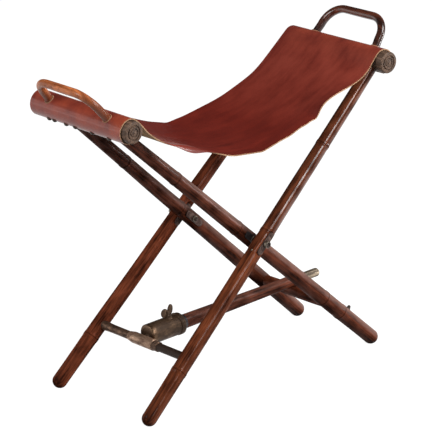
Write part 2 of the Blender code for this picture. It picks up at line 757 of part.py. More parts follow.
def add_stud():
    """A short iron stud in the upper side of the near inner leg."""
    height = FOOT_HEIGHT + STUD_FROM_FOOT * math.cos(LEAN)
    top = along_leg(False, -1, RAIL_HEIGHT)
    foot = along_leg(False, -1, FOOT_HEIGHT)
    surface = leg_radius(along_leg(False, -1, height), top, foot)
    upper_side = Vector((math.cos(LEAN), 0, math.sin(LEAN)))
    placement = axes_at(on_leg(False, -1, height), upper_side, ALONG_Y)
    radius = STUD_DIAMETER / 2
    bottom = surface - STUD_DEPTH
    rim = surface + STUD_STANDS - radius
    profile = dome(radius, radius, rim) + [(radius, bottom), (0, bottom)]
    add_turned("leg_stud", profile, placement, INNER_FRAME, IRON, SMALL_STEPS)
    hole = cylinder_mesh("stud_hole", radius + FIT, bottom - FIT, surface + BITE, SMALL_STEPS)
    combine(LEGS[False, "near"], add_cutter(hole.name, hole, placement))


def along_brace(distance, height=0.0):
    """A placement on the brace's axis: local Z along the brace, local X up out of it."""
    along = Vector((math.cos(BRACE_TILT), 0, math.sin(BRACE_TILT)))
    out = Vector((-math.sin(BRACE_TILT), 0, math.cos(BRACE_TILT)))
    return axes_at(ROD_AXIS + along * distance + out * (BRACE_RISE + height), along, out)


def add_sleeve_and_socket():
    """A tube that turns on the iron rod, and the socket whose neck sits on it."""
    on_rod = axes_at(ROD_AXIS, ALONG_Y, UP)
    bore = ROD_DIAMETER / 2 + FIT
    near_end = SLEEVE_FAR_END - SLEEVE_LENGTH
    sleeve = [
        (bore, near_end),
        (bore, SLEEVE_FAR_END),
        (SLEEVE_DIAMETER / 2, SLEEVE_FAR_END),
        (SLEEVE_DIAMETER / 2, near_end),
        (bore, near_end),
    ]
    add_turned("rod_sleeve", sleeve, on_rod, BRACE_PIVOT, IRON)

    radius = SOCKET_DIAMETER / 2
    lip = radius + SOCKET_LIP
    mouth = SOCKET_LENGTH
    profile = [
        (0, mouth),
        (radius - SOCKET_CHAMFER, mouth),
        (lip, mouth - SOCKET_CHAMFER),
        (lip, mouth - SOCKET_LIP_LENGTH),
        (radius, mouth - SOCKET_LIP_LENGTH - SOCKET_LIP),
        (radius, SOCKET_CHAMFER),
        (radius - SOCKET_CHAMFER, 0),
        (0, 0),
    ]
    socket = add_turned("brace_socket", profile, along_brace(SOCKET_START), BRACE_PIVOT, BRONZE)
    neck = cylinder_mesh("socket_neck", NECK_DIAMETER / 2, -SOCKET_START, SOCKET_FLOOR / 2)
    neck_drop = Matrix.Translation((-BRACE_RISE, 0, 0))
    combine(socket, add_cutter(neck.name, neck, along_brace(SOCKET_START) @ neck_drop), "UNION")
    saddle = cylinder_mesh("socket_saddle", SLEEVE_DIAMETER / 2 + FIT, -SLEEVE_LENGTH, SLEEVE_LENGTH)
    combine(socket, add_cutter(saddle.name, saddle, on_rod))

    screw_axis = screw_placement()
    boss = cylinder_mesh("screw_boss", SCREW_BOSS_DIAMETER / 2, 0, SCREW_SEAT)
    combine(socket, add_cutter(boss.name, boss, screw_axis), "UNION")
    rod_bore = cylinder_mesh("socket_bore", SOCKET_BORE_RADIUS, SOCKET_FLOOR, mouth + BITE)
    combine(socket, add_cutter(rod_bore.name, rod_bore, along_brace(SOCKET_START)))
    screw_hole = cylinder_mesh("screw_hole", SCREW_DIAMETER / 2 + FIT, 0, SCREW_SEAT + BITE, SMALL_STEPS)
    combine(socket, add_cutter(screw_hole.name, screw_hole, screw_axis))


def screw_placement():
    """The thumb screw's axis: local Z out of the brace's axis."""
    along = along_brace(SCREW_AT)
    out = along.to_3x3() @ ALONG_X
    return axes_at(along.translation, out, along.to_3x3() @ UP)


def add_brace_rod():
    """The wooden rod from the socket's floor to just past the stretcher, and its brass tip."""
    start = SOCKET_START + SOCKET_FLOOR + FIT
    butt = BRACE_BUTT_DIAMETER / 2
    end = BRACE_END_DIAMETER / 2
    tenon = TIP_TENON_DIAMETER / 2
    mouth = SOCKET_START + SOCKET_LENGTH
    bore_floor = BRACE_END - TIP_TENON_LENGTH - FIT
    placement = along_brace(0)
    slider = new_pivot("brace_slide", along_brace(start).translation)
    rod = [
        (0, bore_floor),
        (tenon + FIT, bore_floor),
        (tenon + FIT, BRACE_END),
        (end, BRACE_END),
        (end, BRACE_END - BRACE_TAPER_FROM_END),
        (butt, mouth),
        (butt, start),
        (0, start),
    ]
    add_turned("brace_rod", rod, placement, slider, DARK_CANE)
    tip_start = BRACE_END + FIT
    tip_end = BRACE_END + TIP_LENGTH
    tip_radius = TIP_DIAMETER / 2
    tip = [
        (0, tip_end),
        (tip_radius - TIP_CHAMFER, tip_end),
        (tip_radius, tip_end - TIP_CHAMFER),
        (tip_radius, tip_start),
        (tenon, tip_start),
        (tenon, BRACE_END - TIP_TENON_LENGTH),
        (0, BRACE_END - TIP_TENON_LENGTH),
    ]
    add_turned("brace_tip", tip, placement, slider, BRASS)


def add_thumb_screw():
    """A winged screw: a turned stem with two flat lobes, its shank down to the brace rod."""
    placement = screw_placement()
    turner = new_pivot("thumb_screw_turn", placement.translation)
    base = SCREW_SEAT + FIT
    shank_end = BRACE_BUTT_DIAMETER / 2 + FIT
    base_radius = SCREW_BASE_DIAMETER / 2
    neck_radius = SCREW_NECK_DIAMETER / 2
    shank_radius = SCREW_DIAMETER / 2
    stem_top = base + SCREW_STEM_HEIGHT
    profile = dome(neck_radius, neck_radius, stem_top)
    profile += [
        (neck_radius, base + SCREW_RIM_HEIGHT + SCREW_RIM_SLOPE),
        (base_radius, base + SCREW_RIM_HEIGHT),
        (base_radius, base),
        (shank_radius, base),
        (shank_radius, shank_end),
        (0, shank_end),
    ]
    screw = add_turned("thumb_screw", profile, placement, turner, BRONZE, SMALL_STEPS)
    turned = placement @ Matrix.Rotation(WING_TURN, 4, "Z")
    for side in (-1, 1):
        lobe = bmesh.new()
        bmesh.ops.create_uvsphere(lobe, u_segments=SMALL_STEPS, v_segments=HOLE_STEPS, radius=1)
        bmesh.ops.scale(lobe, vec=(WING_LENGTH, WING_THICKNESS, WING_HEIGHT), verts=lobe.verts)
        middle = Vector((side * WING_REACH, 0, stem_top + WING_RISE))
        lean = Matrix.Rotation(side * WING_TILT, 4, "Y")
        wing = add_cutter(
            "wing_right" if side > 0 else "wing_left", mesh_from("wing", lobe),
            turned @ Matrix.Translation(middle) @ lean,
        )
        combine(screw, wing, "UNION")


LEGS = {}
for is_outer in (True, False):
    for side_label in SIDES:
        LEGS[is_outer, side_label] = add_leg(is_outer, side_label)
for side_label in SIDES:
    add_crossing(side_label)
seat_holes = []
for is_right in (True, False):
    rail_holes = grip_holes(is_right) + add_tacks(is_right)
    add_rail(is_right, rail_holes)
    add_grip(is_right)
    seat_holes += rail_holes
add_seat(seat_holes)
add_iron_rod()
add_stretcher()
add_stud()
add_sleeve_and_socket()
add_brace_rod()
add_thumb_screw()
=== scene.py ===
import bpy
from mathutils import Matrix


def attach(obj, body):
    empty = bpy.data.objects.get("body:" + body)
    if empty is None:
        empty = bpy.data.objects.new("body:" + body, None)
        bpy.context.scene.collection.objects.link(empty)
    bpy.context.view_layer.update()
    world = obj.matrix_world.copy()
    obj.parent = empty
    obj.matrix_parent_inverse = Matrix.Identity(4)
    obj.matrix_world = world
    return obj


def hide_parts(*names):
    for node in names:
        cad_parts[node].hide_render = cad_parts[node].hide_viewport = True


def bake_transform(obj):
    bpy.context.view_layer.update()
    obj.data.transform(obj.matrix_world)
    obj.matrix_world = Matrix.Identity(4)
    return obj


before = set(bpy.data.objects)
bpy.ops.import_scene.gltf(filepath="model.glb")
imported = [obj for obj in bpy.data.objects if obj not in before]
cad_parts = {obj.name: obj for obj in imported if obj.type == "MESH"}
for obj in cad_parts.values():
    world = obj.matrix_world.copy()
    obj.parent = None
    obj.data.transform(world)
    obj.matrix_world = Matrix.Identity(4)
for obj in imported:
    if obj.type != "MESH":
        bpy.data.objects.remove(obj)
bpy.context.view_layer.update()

import math

import bmesh
import bpy
from mathutils import Matrix, Vector, noise

# Legs: four stained and varnished canes in two crossed pairs, the outer for the right rail, the inner for
# the left. Each swells at its nodes, is flat at the pivot for its plates, and stands on a worn round foot.
# The outer pair's varnish is worn thin below the pivots, and the inner pair's upper sides carry a painted
# sheen.
PIVOT = Vector((0, 0, 0.2564))
RAIL_X = 0.2834
RAIL_HEIGHT = 0.5174
LEAN = math.atan2(RAIL_X, RAIL_HEIGHT - PIVOT.z)
OUTER_PIVOT_Y = 0.1078
INNER_PIVOT_Y = 0.0772
OUTER_SPLAY = math.radians(1.9)
INNER_SPLAY = math.radians(3.1)
LEG_WIDTHS = {"top": 0.0214, "pivot": 0.0260, "calf": 0.0274, "foot": 0.0262}
CALF_FROM_FOOT = 0.110
FOOT_AXIS_HEIGHT = 0.0121
FOOT_STEPS = 8
# Each foot is coloured darker towards its bottom.
FOOT_DARKENS_FROM = 0.45  # of the foot's half width, below its axis
FOOT_DARKENS_OVER = 0.40
LEG_INTO_RAIL = 0.012
FLAT_FROM_AXIS = 0.0104
FLAT_HALF_LENGTH = 0.0228
FLAT_END = 0.0006
NODE_SWELL = 0.0008
NODE_GROOVE = 0.0004
NODE_HALF_LENGTH = 0.0060
GROOVE_SHARE = 0.30  # of a node's half length
NODE_DARK_SHARE = 0.32
PIVOT_NODE = 0.036
CALF_NODE = 0.094
TOP_NODE = 0.205
LOW_NODE = 0.0205  # on the near outer leg, instead of PIVOT_NODE
SHIN_NODE = 0.1445  # on the near inner leg alone
# The inner legs are coloured darker in a band round the pivot.
PIVOT_DARK_BAND = {"middle": 0.004, "half_length": 0.030, "depth": 0.95, "sharpness": 3}
STRETCHER_DARK_BAND = {"half_length": 0.032, "depth": 0.90, "sharpness": 4}  # a darker band on the far inner leg, where the stretcher meets it
STRETCHER_DARK_BAND_FROM_FOOT = 0.130
DULLED = 0.82  # the share of the varnish that is lost below the pivots
DULLED_OVER = 0.020
CANE_WAVER = 0.00035
CANE_BOW = 2.5 * CANE_WAVER
LEG_RING_STEP = 0.004
LEG_STEPS = 40
ALONG_Y = Vector((0, 1, 0))
SIDES = {"near": -1, "far": 1}
FRAMES = {True: "outer_frame", False: "inner_frame"}  # True for the outer legs and the right rail
SMOOTH_BELOW = math.radians(38)
DARK_STAIN = (0.021, 0.0063, 0.0036)
DARK_CANE = (0.192, 0.048, 0.022)
RED_STAIN = (0.034, 0.0092, 0.0050)
RED_CANE = (0.262, 0.066, 0.030)
WARM_STAIN = (0.036, 0.0105, 0.0056)
WARM_CANE = (0.218, 0.058, 0.0230)
# A pale grey that paints a sheen on the upper sides of the inner legs and of the brace rod.
PAINTED_SHEEN_TINT = (0.295, 0.195, 0.170)
DARKENING_TONE = 0.35  # of the stain


def axes_at(origin, z_axis, x_hint):
    """A placement at origin with local Z along z_axis and local X towards x_hint."""
    z = Vector(z_axis).normalized()
    y = z.cross(x_hint).normalized()
    placement = Matrix((y.cross(z), y, z)).transposed().to_4x4()
    placement.translation = origin
    return placement


def turned(profile, steps):
    """A turned shape: an outline of (radius, height) points spun about local Z."""
    shape = bmesh.new()
    closed = profile[0] == profile[-1]
    outline = profile[:-1] if closed else profile
    points = [shape.verts.new((radius, 0, height)) for radius, height in outline]
    pairs = list(zip(points, points[1:]))
    if closed:
        pairs.append((points[-1], points[0]))
    edges = [shape.edges.new(pair) for pair in pairs]
    bmesh.ops.spin(
        shape, geom=points + edges, axis=(0, 0, 1), cent=(0, 0, 0), angle=2 * math.pi,
        steps=steps, use_merge=True,
    )
    bmesh.ops.remove_doubles(shape, verts=shape.verts, dist=1e-6)
    bmesh.ops.recalc_face_normals(shape, faces=shape.faces)
    return shape


def paint(shape, name, value_at):
    """Gives each point of a shape a value, which its finish reads by name."""
    layer = shape.verts.layers.float.new(name)
    for vertex in shape.verts:
        vertex[layer] = value_at(vertex.co)


def set_out(name, data):
    """A new object in the scene, at the origin."""
    item = bpy.data.objects.new(name, data)
    bpy.context.scene.collection.objects.link(item)
    return item


def piece_of(node, kind, shape, placement, finish, body, stands_for_node=True):
    """A finished piece in its place: smooth, with its own lengthwise grain coordinates."""
    name = f"{node}_{kind}"
    mesh = bpy.data.meshes.new(name)
    shape.to_mesh(mesh)
    shape.free()
    grain = mesh.attributes.new("grain", "FLOAT_VECTOR", "POINT")
    for place, vertex in zip(grain.data, mesh.vertices):
        place.vector = vertex.co
    mesh.transform(placement)
    mesh.shade_smooth()
    mesh.set_sharp_from_angle(angle=SMOOTH_BELOW)
    mesh.materials.append(finish)
    piece = set_out(name, mesh)
    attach(piece, body)
    if stands_for_node:
        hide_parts(node)


def feed(tree, node, inputs):
    """Gives a node its inputs: what comes from another node is linked, and plain values are set."""
    for name, value in inputs.items():
        socket = node.inputs[name]
        if isinstance(value, bpy.types.NodeSocket):
            tree.links.new(value, socket)
        elif socket.type == "RGBA" and len(value) == 3:
            socket.default_value = (*value, 1)
        else:
            socket.default_value = value


def put(tree, kind, inputs=None, **settings):
    node = tree.nodes.new(kind)
    for name, value in settings.items():
        setattr(node, name, value)
    feed(tree, node, inputs or {})
    return node


def painted(tree, name, output="Fac"):
    """What the mesh itself carries from point to point."""
    return put(tree, "ShaderNodeAttribute", attribute_name=name).outputs[output]


def worked(tree, operation, *values):
    return put(tree, "ShaderNodeMath", dict(enumerate(values)), operation=operation).outputs[0]


def mixed(tree, factor, first, second):
    """A colour mixed of two colours."""
    return put(tree, "ShaderNodeMix", {0: factor, 6: first, 7: second}, data_type="RGBA").outputs[2]


def blended(tree, share, first, second):
    """A value blended of two values."""
    return put(tree, "ShaderNodeMix", {0: share, 2: first, 3: second}).outputs[0]


def shaded(tree, colour, shade):
    return put(tree, "ShaderNodeVectorMath", {0: colour, 1: shade}, operation="MULTIPLY").outputs[0]


def spread(tree, value, low, high, to_low=0.0, to_high=1.0):
    """A value stretched from one range to another and clamped."""
    names = {"Value": value, "From Min": low, "From Max": high, "To Min": to_low, "To Max": to_high}
    return put(tree, "ShaderNodeMapRange", names).outputs["Result"]


def scaled(tree, vector, scale, **more):
    return put(tree, "ShaderNodeMapping", {"Vector": vector, "Scale": scale, **more}).outputs["Vector"]


def clouds(tree, vector, scale, detail, turn=0.0, **more):
    """Soft noise in a piece's own coordinates, stretched by a scale and turned about their Z."""
    where = scaled(tree, vector, scale, Rotation=(0, 0, turn))
    names = {"Vector": where, "Scale": 1.0, "Detail": detail, **more}
    return put(tree, "ShaderNodeTexNoise", names).outputs["Fac"]


def bumped(tree, height, strength, distance=0.0004):
    names = {"Height": height, "Strength": strength, "Distance": distance}
    return put(tree, "ShaderNodeBump", names).outputs["Normal"]


def new_group(name, inputs, outputs):
    """A shader node group with named sockets, its given values and the node that takes what it makes."""
    tree = bpy.data.node_groups.new(name, "ShaderNodeTree")
    for way, sockets in (("INPUT", inputs), ("OUTPUT", outputs)):
        for socket, kind in sockets.items():
            tree.interface.new_socket(socket, in_out=way, socket_type=f"NodeSocket{kind}")
    return tree, tree.nodes.new("NodeGroupInput").outputs, tree.nodes.new("NodeGroupOutput")


def new_finish(name):
    material = bpy.data.materials.new(name)
    material.use_nodes = True
    return material, material.node_tree, material.node_tree.nodes["Principled BSDF"]


def make_wood_grain():
    """Long streaks, cloudy stain and fine pores that run along a piece's own length."""
    tree, given, made = new_group(
        "wood_grain",
        {"Along": "Vector", "Dark": "Color", "Light": "Color", "Cloud": "Float"},
        {"Color": "Color", "Rough": "Float", "Height": "Float"},
    )
    streak = clouds(tree, given["Along"], (260, 260, 9), 5.0, Roughness=0.6, Distortion=0.3)
    cloud = clouds(tree, given["Along"], (70, 70, 24), 3.0)
    pores = clouds(tree, given["Along"], (1400, 1400, 60), 2.0)
    tone = spread(tree, blended(tree, given["Cloud"], streak, cloud), 0.39, 0.62)
    colour = mixed(tree, tone, given["Dark"], given["Light"])
    feed(tree, made, {
        "Color": shaded(tree, colour, spread(tree, pores, 0.30, 0.46, 0.62, 1.0)),
        "Rough": spread(tree, cloud, 0.3, 0.7),
        "Height": worked(tree, "ADD", streak, pores),
    })
    return tree


wood_grain = make_wood_grain()


def grained(tree, along, dark, light, cloud):
    names = {"Along": along, "Dark": dark, "Light": light, "Cloud": cloud}
    return put(tree, "ShaderNodeGroup", names, node_tree=wood_grain).outputs


def cane_finish(name, dark, light, cloud, coat, coat_blur):
    """Stained cane under old varnish: darker at its nodes and wherever its ring is painted high, paler and
    greyer with a painted sheen where that is painted, and dulled where it is painted so.
    """
    material, tree, shader = new_finish(name)
    grain = grained(tree, painted(tree, "grain", "Vector"), dark, light, cloud)
    ring = painted(tree, "ring")
    patches = spread(tree, grain["Rough"], 0.1, 0.9, 0.45, 0.85)
    # Painted sheen: the colour turns paler and greyer in patches where the mesh says so.
    painted_sheen = worked(tree, "MULTIPLY", painted(tree, "painted_sheen"), patches)
    colour = mixed(tree, painted_sheen, grain["Color"], PAINTED_SHEEN_TINT)
    darkening = tuple(part * DARKENING_TONE for part in dark)
    patchy = spread(tree, grain["Rough"], 0.2, 0.8, coat * 0.35, coat * 1.3)
    varnish = worked(tree, "MULTIPLY", patchy, spread(tree, ring, 0.0, 0.6, 1.0, 0.15))
    kept = spread(tree, painted(tree, "dulled"), 0.0, 1.0, 1.0, 0.0)
    feed(tree, shader, {
        "Base Color": mixed(tree, spread(tree, ring, 0.0, 1.0, 0.0, 0.6), colour, darkening),
        "Roughness": spread(tree, grain["Rough"], 0.0, 1.0, 0.42, 0.60),
        "Normal": bumped(tree, grain["Height"], 0.06),
        "Specular IOR Level": 0.0,
        "Coat Weight": worked(tree, "MULTIPLY", varnish, kept),
        "Coat Roughness": coat_blur,
    })
    return material


def leg_line(outer, side):
    """Where a leg's axis meets its pivot, and the leg's upward direction."""
    half, splay, reach = (OUTER_PIVOT_Y, OUTER_SPLAY, 1) if outer else (INNER_PIVOT_Y, INNER_SPLAY, -1)
    direction = Vector((reach * math.sin(LEAN), -side * math.tan(splay), math.cos(LEAN)))
    return PIVOT + side * half * ALONG_Y, direction.normalized()


def leg_ends(direction):
    """How far along a leg from its pivot the rail's height and the foot's height are."""
    return (RAIL_HEIGHT - PIVOT.z) / direction.z, (FOOT_AXIS_HEIGHT - PIVOT.z) / direction.z


def eased(low, high, share):
    share = min(max(share, 0), 1)
    return low + (high - low) * share * share * (3 - 2 * share)


def leg_half_width(height, top, foot):
    """Half the thickness of a cane at a distance above its pivot, without its nodes."""
    calf = foot + CALF_FROM_FOOT
    if height >= 0:
        return (LEG_WIDTHS["pivot"] + (LEG_WIDTHS["top"] - LEG_WIDTHS["pivot"]) * height / top) / 2
    if height >= calf:
        return eased(LEG_WIDTHS["pivot"], LEG_WIDTHS["calf"], height / calf) / 2
    return eased(LEG_WIDTHS["calf"], LEG_WIDTHS["foot"], (calf - height) / CALF_FROM_FOOT) / 2


def dark_band_at(height, middle, half_length, depth, sharpness):
    return depth * (1 - min(abs(height - middle) / half_length, 1) ** sharpness)


def leg_profile(nodes, top, foot):
    """A cane's outline from its end in the rail, over its nodes, to the pole of its round foot."""
    end = top - LEG_INTO_RAIL
    heights = {foot + LEG_RING_STEP * n for n in range(int((end - foot) / LEG_RING_STEP) + 1)}
    heights |= {end} | {n * (FLAT_HALF_LENGTH + FLAT_END * k) for n in (-1, 1) for k in (0, 1)}
    for node in nodes:
        heights |= {node + k * NODE_HALF_LENGTH / 6 for k in range(-6, 7)}
    profile = [(0, end)]
    for height in sorted(heights, reverse=True):
        radius = leg_half_width(height, top, foot)
        for node in nodes:
            away = abs(height - node) / NODE_HALF_LENGTH
            if away < 1:
                radius += NODE_SWELL * (1 - away * away) ** 2
            if away < GROOVE_SHARE:
                radius -= NODE_GROOVE * (1 - away / GROOVE_SHARE)
        profile.append((radius, height))
    tip = LEG_WIDTHS["foot"] / 2
    angles = [math.pi / 2 * step / FOOT_STEPS for step in range(1, FOOT_STEPS + 1)]
    return profile + [(tip * math.cos(angle), foot - tip * math.sin(angle)) for angle in angles]


def make_leg(outer, side_name, finish):
    side = SIDES[side_name]
    point, direction = leg_line(outer, side)
    placement = axes_at(point, direction, ALONG_Y)
    top, foot = leg_ends(direction)
    tip = LEG_WIDTHS["foot"] / 2
    name = f"{'outer' if outer else 'inner'}_leg_{side_name}"
    nodes = [TOP_NODE, LOW_NODE if name == "outer_leg_near" else PIVOT_NODE, foot + CALF_NODE]
    if name == "inner_leg_near":
        nodes.append(foot + SHIN_NODE)

    def darkening_at(place):
        away = min(abs(place.z - node) for node in nodes) / NODE_HALF_LENGTH
        # darker towards the bottom of the foot
        foot_darkening = min((foot - tip * FOOT_DARKENS_FROM - place.z) / (tip * FOOT_DARKENS_OVER), 1)
        darkening = max(0, 1 - away / NODE_DARK_SHARE, foot_darkening)
        # darker bands on the inner legs: round the pivot, and on the far one where the stretcher meets it
        if name == "inner_leg_far":
            darkening = max(darkening, dark_band_at(place.z, foot + STRETCHER_DARK_BAND_FROM_FOOT, **STRETCHER_DARK_BAND))
        return darkening if outer else max(darkening, dark_band_at(place.z, **PIVOT_DARK_BAND))

    def on_upper_side(place):
        from_pivot = placement @ place - point
        from_axis = from_pivot - direction * from_pivot.dot(direction)
        return 0 if outer else max(-from_axis.dot(direction.cross(ALONG_Y)) / tip, 0)

    shape = turned(leg_profile(nodes, top, foot), LEG_STEPS)
    paint(shape, "ring", darkening_at)
    paint(shape, "dulled", lambda place: eased(0, DULLED, (LOW_NODE - place.z) / DULLED_OVER) if outer else 0)
    lengthwise = Vector((direction.x, 0, direction.z)).normalized()
    inverse = placement.inverted()
    for vertex in shape.verts:
        waver = noise.noise(Vector((vertex.co.z * 9, side * 3.1 + outer, vertex.co.x * 25)))
        swell = 1 + CANE_WAVER / tip * waver
        bow = CANE_BOW * noise.noise(Vector((vertex.co.z * 5, 7.7 * side, 3.3 + outer)))
        vertex.co.x = vertex.co.x * swell
        vertex.co.y = vertex.co.y * swell + bow
        place = placement @ vertex.co
        if abs((place - point).dot(lengthwise)) <= FLAT_HALF_LENGTH + FLAT_END / 2:
            place.y = point.y + min(max(place.y - point.y, -FLAT_FROM_AXIS), FLAT_FROM_AXIS)
        place.z = max(place.z, 0)
        vertex.co = inverse @ place
    # Painted sheen on the upper sides of the inner legs.
    paint(shape, "painted_sheen", on_upper_side)
    piece_of(name, "cane", shape, placement, finish, FRAMES[outer])


warm_cane = cane_finish("warm_cane_varnished", WARM_STAIN, WARM_CANE, 0.45, 0.95, 0.155)
dark_cane = cane_finish("dark_cane_varnished", DARK_STAIN, DARK_CANE, 0.50, 0.17, 0.24)
red_cane = cane_finish("red_cane_varnished", RED_STAIN, RED_CANE, 0.50, 0.15, 0.24)
make_leg(True, "near", warm_cane)
make_leg(True, "far", red_cane)
make_leg(False, "near", dark_cane)
make_leg(False, "far", dark_cane)

# Pivots: where two legs cross, an iron bolt runs from a dished head on the outside through both canes and
# the washer between them to a cap nut. Round-ended plates are let into the flats, brown straps held by
# pins and plain plates where the canes rub, and a small pin stands on the near outer leg below its bolt.
ALONG_X = Vector((1, 0, 0))
FIT = 0.0003  # the gap between pieces that touch
PLATE_LENGTH = 0.045
PLATE_HALF_WIDTH = 0.006
PLATE_THICKNESS = 0.0025
PLATE_EDGE = 0.0007
PLATE_STEPS = 40
PLATE_PIN_FROM_END = 0.0055
PLATE_PIN = [(0, 0.0009), (0.0009, 0.0008), (0.0016, 0.0004), (0.0018, 0), (0.0014, -0.0006), (0, -0.0006)]
PLATE_FACE = FLAT_FROM_AXIS + FIT + PLATE_THICKNESS
BOLT_RADIUS = 0.0040
BOLT_BORE = BOLT_RADIUS + FIT
BOLT_HEAD = [
    (0, 0.0044), (0.0020, 0.0045), (0.0030, 0.0052), (0.0035, 0.0066), (0.0043, 0.0070), (0.0052, 0.0067),
    (0.0058, 0.0058), (0.0060, 0.0046), (0.0060, 0.0022), (0.00625, 0.0018), (0.00625, 0),
]
NUT_CAP = [
    (0, 0.0058), (0.0016, 0.0056), (0.0030, 0.0049), (0.0039, 0.0038), (0.0042, 0.0026),
    (0.0043, 0.0020), (0.0054, 0.0018), (0.00575, 0.0013), (0.00575, 0),
]
NUT_BORE_DEPTH = 0.0028
WASHER_RADIUS = 0.0085
WASHER_EDGE = 0.0006
WASHER_THICKNESS = 0.0036
LEG_PIN_AT = -0.0225
LEG_PIN_TURN = math.radians(110)
LEG_PIN_SEAT = 0.0126
LEG_PIN_RUB = 0.35
LEG_PIN = [(0, 0.0016), (0.0008, 0.0014), (0.0014, 0.0009), (0.0017, 0.0002), (0.0017, -0.0030), (0, -0.0030)]
RUBBED_RIM = (0.72, 0.97)  # of a bolt, nut or washer, as shares of its radius
RUBBED_MIDDLE = 0.12
BOLT_RUB = 0.32
BOLT_DIRT = -0.12
BLACKED_IRON = (0.050, 0.034, 0.028)
STRAP_BROWN = (0.056, 0.029, 0.023)
STRAP_BARE = (0.145, 0.095, 0.080)
WEAR_BROWN = (0.012, 0.009, 0.009)
WEAR_BARE = (0.040, 0.032, 0.032)
BOLT_BARE = (0.185, 0.157, 0.125)


def make_patina():
    """Browned metal rubbed bare in patches: colour, gloss, bare metal and pitting."""
    tree, given, made = new_group(
        "patina",
        {"Where": "Vector", "Brown": "Color", "Bare": "Color", "Wear": "Float"},
        {"Color": "Color", "Rough": "Float", "Metal": "Float", "Height": "Float"},
    )
    blotch = clouds(tree, given["Where"], (130, 130, 60), 5.0, Roughness=0.65)
    pits = clouds(tree, given["Where"], (900, 900, 900), 3.0, Roughness=0.7)
    bare = spread(tree, worked(tree, "ADD", blotch, given["Wear"]), 0.40, 0.64)
    colour = mixed(tree, bare, given["Brown"], given["Bare"])
    feed(tree, made, {
        "Color": shaded(tree, colour, spread(tree, pits, 0.32, 0.48, 0.66, 1.0)),
        "Rough": spread(tree, bare, 0.0, 1.0, 0.58, 0.36),
        "Metal": spread(tree, bare, 0.0, 1.0, 0.25, 0.9),
        "Height": pits,
    })
    return tree


patina = make_patina()


def metal_finish(name, brown, bare, wear):
    """Old browned metal with bare patches, which grow where its rub is painted high."""
    material, tree, shader = new_finish(name)
    worn = put(tree, "ShaderNodeGroup", {
        "Where": painted(tree, "grain", "Vector"), "Brown": brown, "Bare": bare,
        "Wear": worked(tree, "ADD", painted(tree, "rub"), wear),
    }, node_tree=patina).outputs
    feed(tree, shader, {
        "Base Color": worn["Color"], "Roughness": worn["Rough"], "Metallic": worn["Metal"],
        "Normal": bumped(tree, worn["Height"], 0.2, 0.0003), "Specular IOR Level": 0.2,
    })
    return material


def add_to(shape, other, placement):
    """Joins a second shape to the first one, set in its place."""
    mesh = bpy.data.meshes.new("joined")
    other.transform(placement)
    other.to_mesh(mesh)
    other.free()
    shape.from_mesh(mesh)
    bpy.data.meshes.remove(mesh)


def raise_face(shape, height):
    """Pulls the flat faces of a shape up into a plate of the given thickness."""
    raised = bmesh.ops.extrude_face_region(shape, geom=shape.faces[:])["geom"]
    top = [item for item in raised if isinstance(item, bmesh.types.BMVert)]
    bmesh.ops.translate(shape, verts=top, vec=(0, 0, height))


def ease_edges(shape, edges, width):
    """Rounds the given edges of a plate and turns its faces outwards."""
    bmesh.ops.bevel(shape, geom=edges, offset=width, segments=3, profile=0.5, affect="EDGES", material=-1)
    bmesh.ops.recalc_face_normals(shape, faces=shape.faces)


def make_plate(pinned):
    """A flat bar with round ends and a bolt hole, its upper rim eased, with a pin head near each end."""
    shape = bmesh.new()
    half_step = Matrix.Rotation(math.pi / PLATE_STEPS, 4, "Z")
    for radius, stretch in ((PLATE_HALF_WIDTH, PLATE_LENGTH / 2 - PLATE_HALF_WIDTH), (BOLT_BORE, 0)):
        rim = bmesh.ops.create_circle(shape, segments=PLATE_STEPS, radius=radius, matrix=half_step)["verts"]
        for vertex in rim:
            vertex.co.x += math.copysign(stretch, vertex.co.x)
    bmesh.ops.bridge_loops(shape, edges=shape.edges[:])
    raise_face(shape, PLATE_THICKNESS)
    outer_rim = [
        edge for edge in shape.edges
        if all(v.co.z > PLATE_THICKNESS / 2 and v.co.length > PLATE_HALF_WIDTH for v in edge.verts)
    ]
    ease_edges(shape, outer_rim, PLATE_EDGE)
    for end in (-1, 1) if pinned else ():
        place = Matrix.Translation((end * (PLATE_LENGTH / 2 - PLATE_PIN_FROM_END), 0, PLATE_THICKNESS))
        add_to(shape, turned(PLATE_PIN, 20), place)
    return shape


strap_iron = metal_finish("strap_iron", STRAP_BROWN, STRAP_BARE, -0.04)
wear_iron = metal_finish("wear_iron", WEAR_BROWN, WEAR_BARE, -0.04)
worn_bolt_iron = metal_finish("worn_bolt_iron", BLACKED_IRON, BOLT_BARE, -0.10)

pin_spot, pin_leg = leg_line(True, SIDES["near"])
pin_side = (ALONG_Y - pin_leg * pin_leg.dot(ALONG_Y)).normalized()
pin_out = pin_side * math.cos(LEG_PIN_TURN) + pin_leg.cross(pin_side) * math.sin(LEG_PIN_TURN)
pin_spot += pin_leg * LEG_PIN_AT + pin_out * LEG_PIN_SEAT
pin_head = turned(LEG_PIN, 24)
paint(pin_head, "rub", lambda place: LEG_PIN_RUB)
piece_of(
    "leg_pin_near", "head", pin_head, axes_at(pin_spot, pin_out, pin_leg), worn_bolt_iron,
    "outer_frame", stands_for_node=False,
)

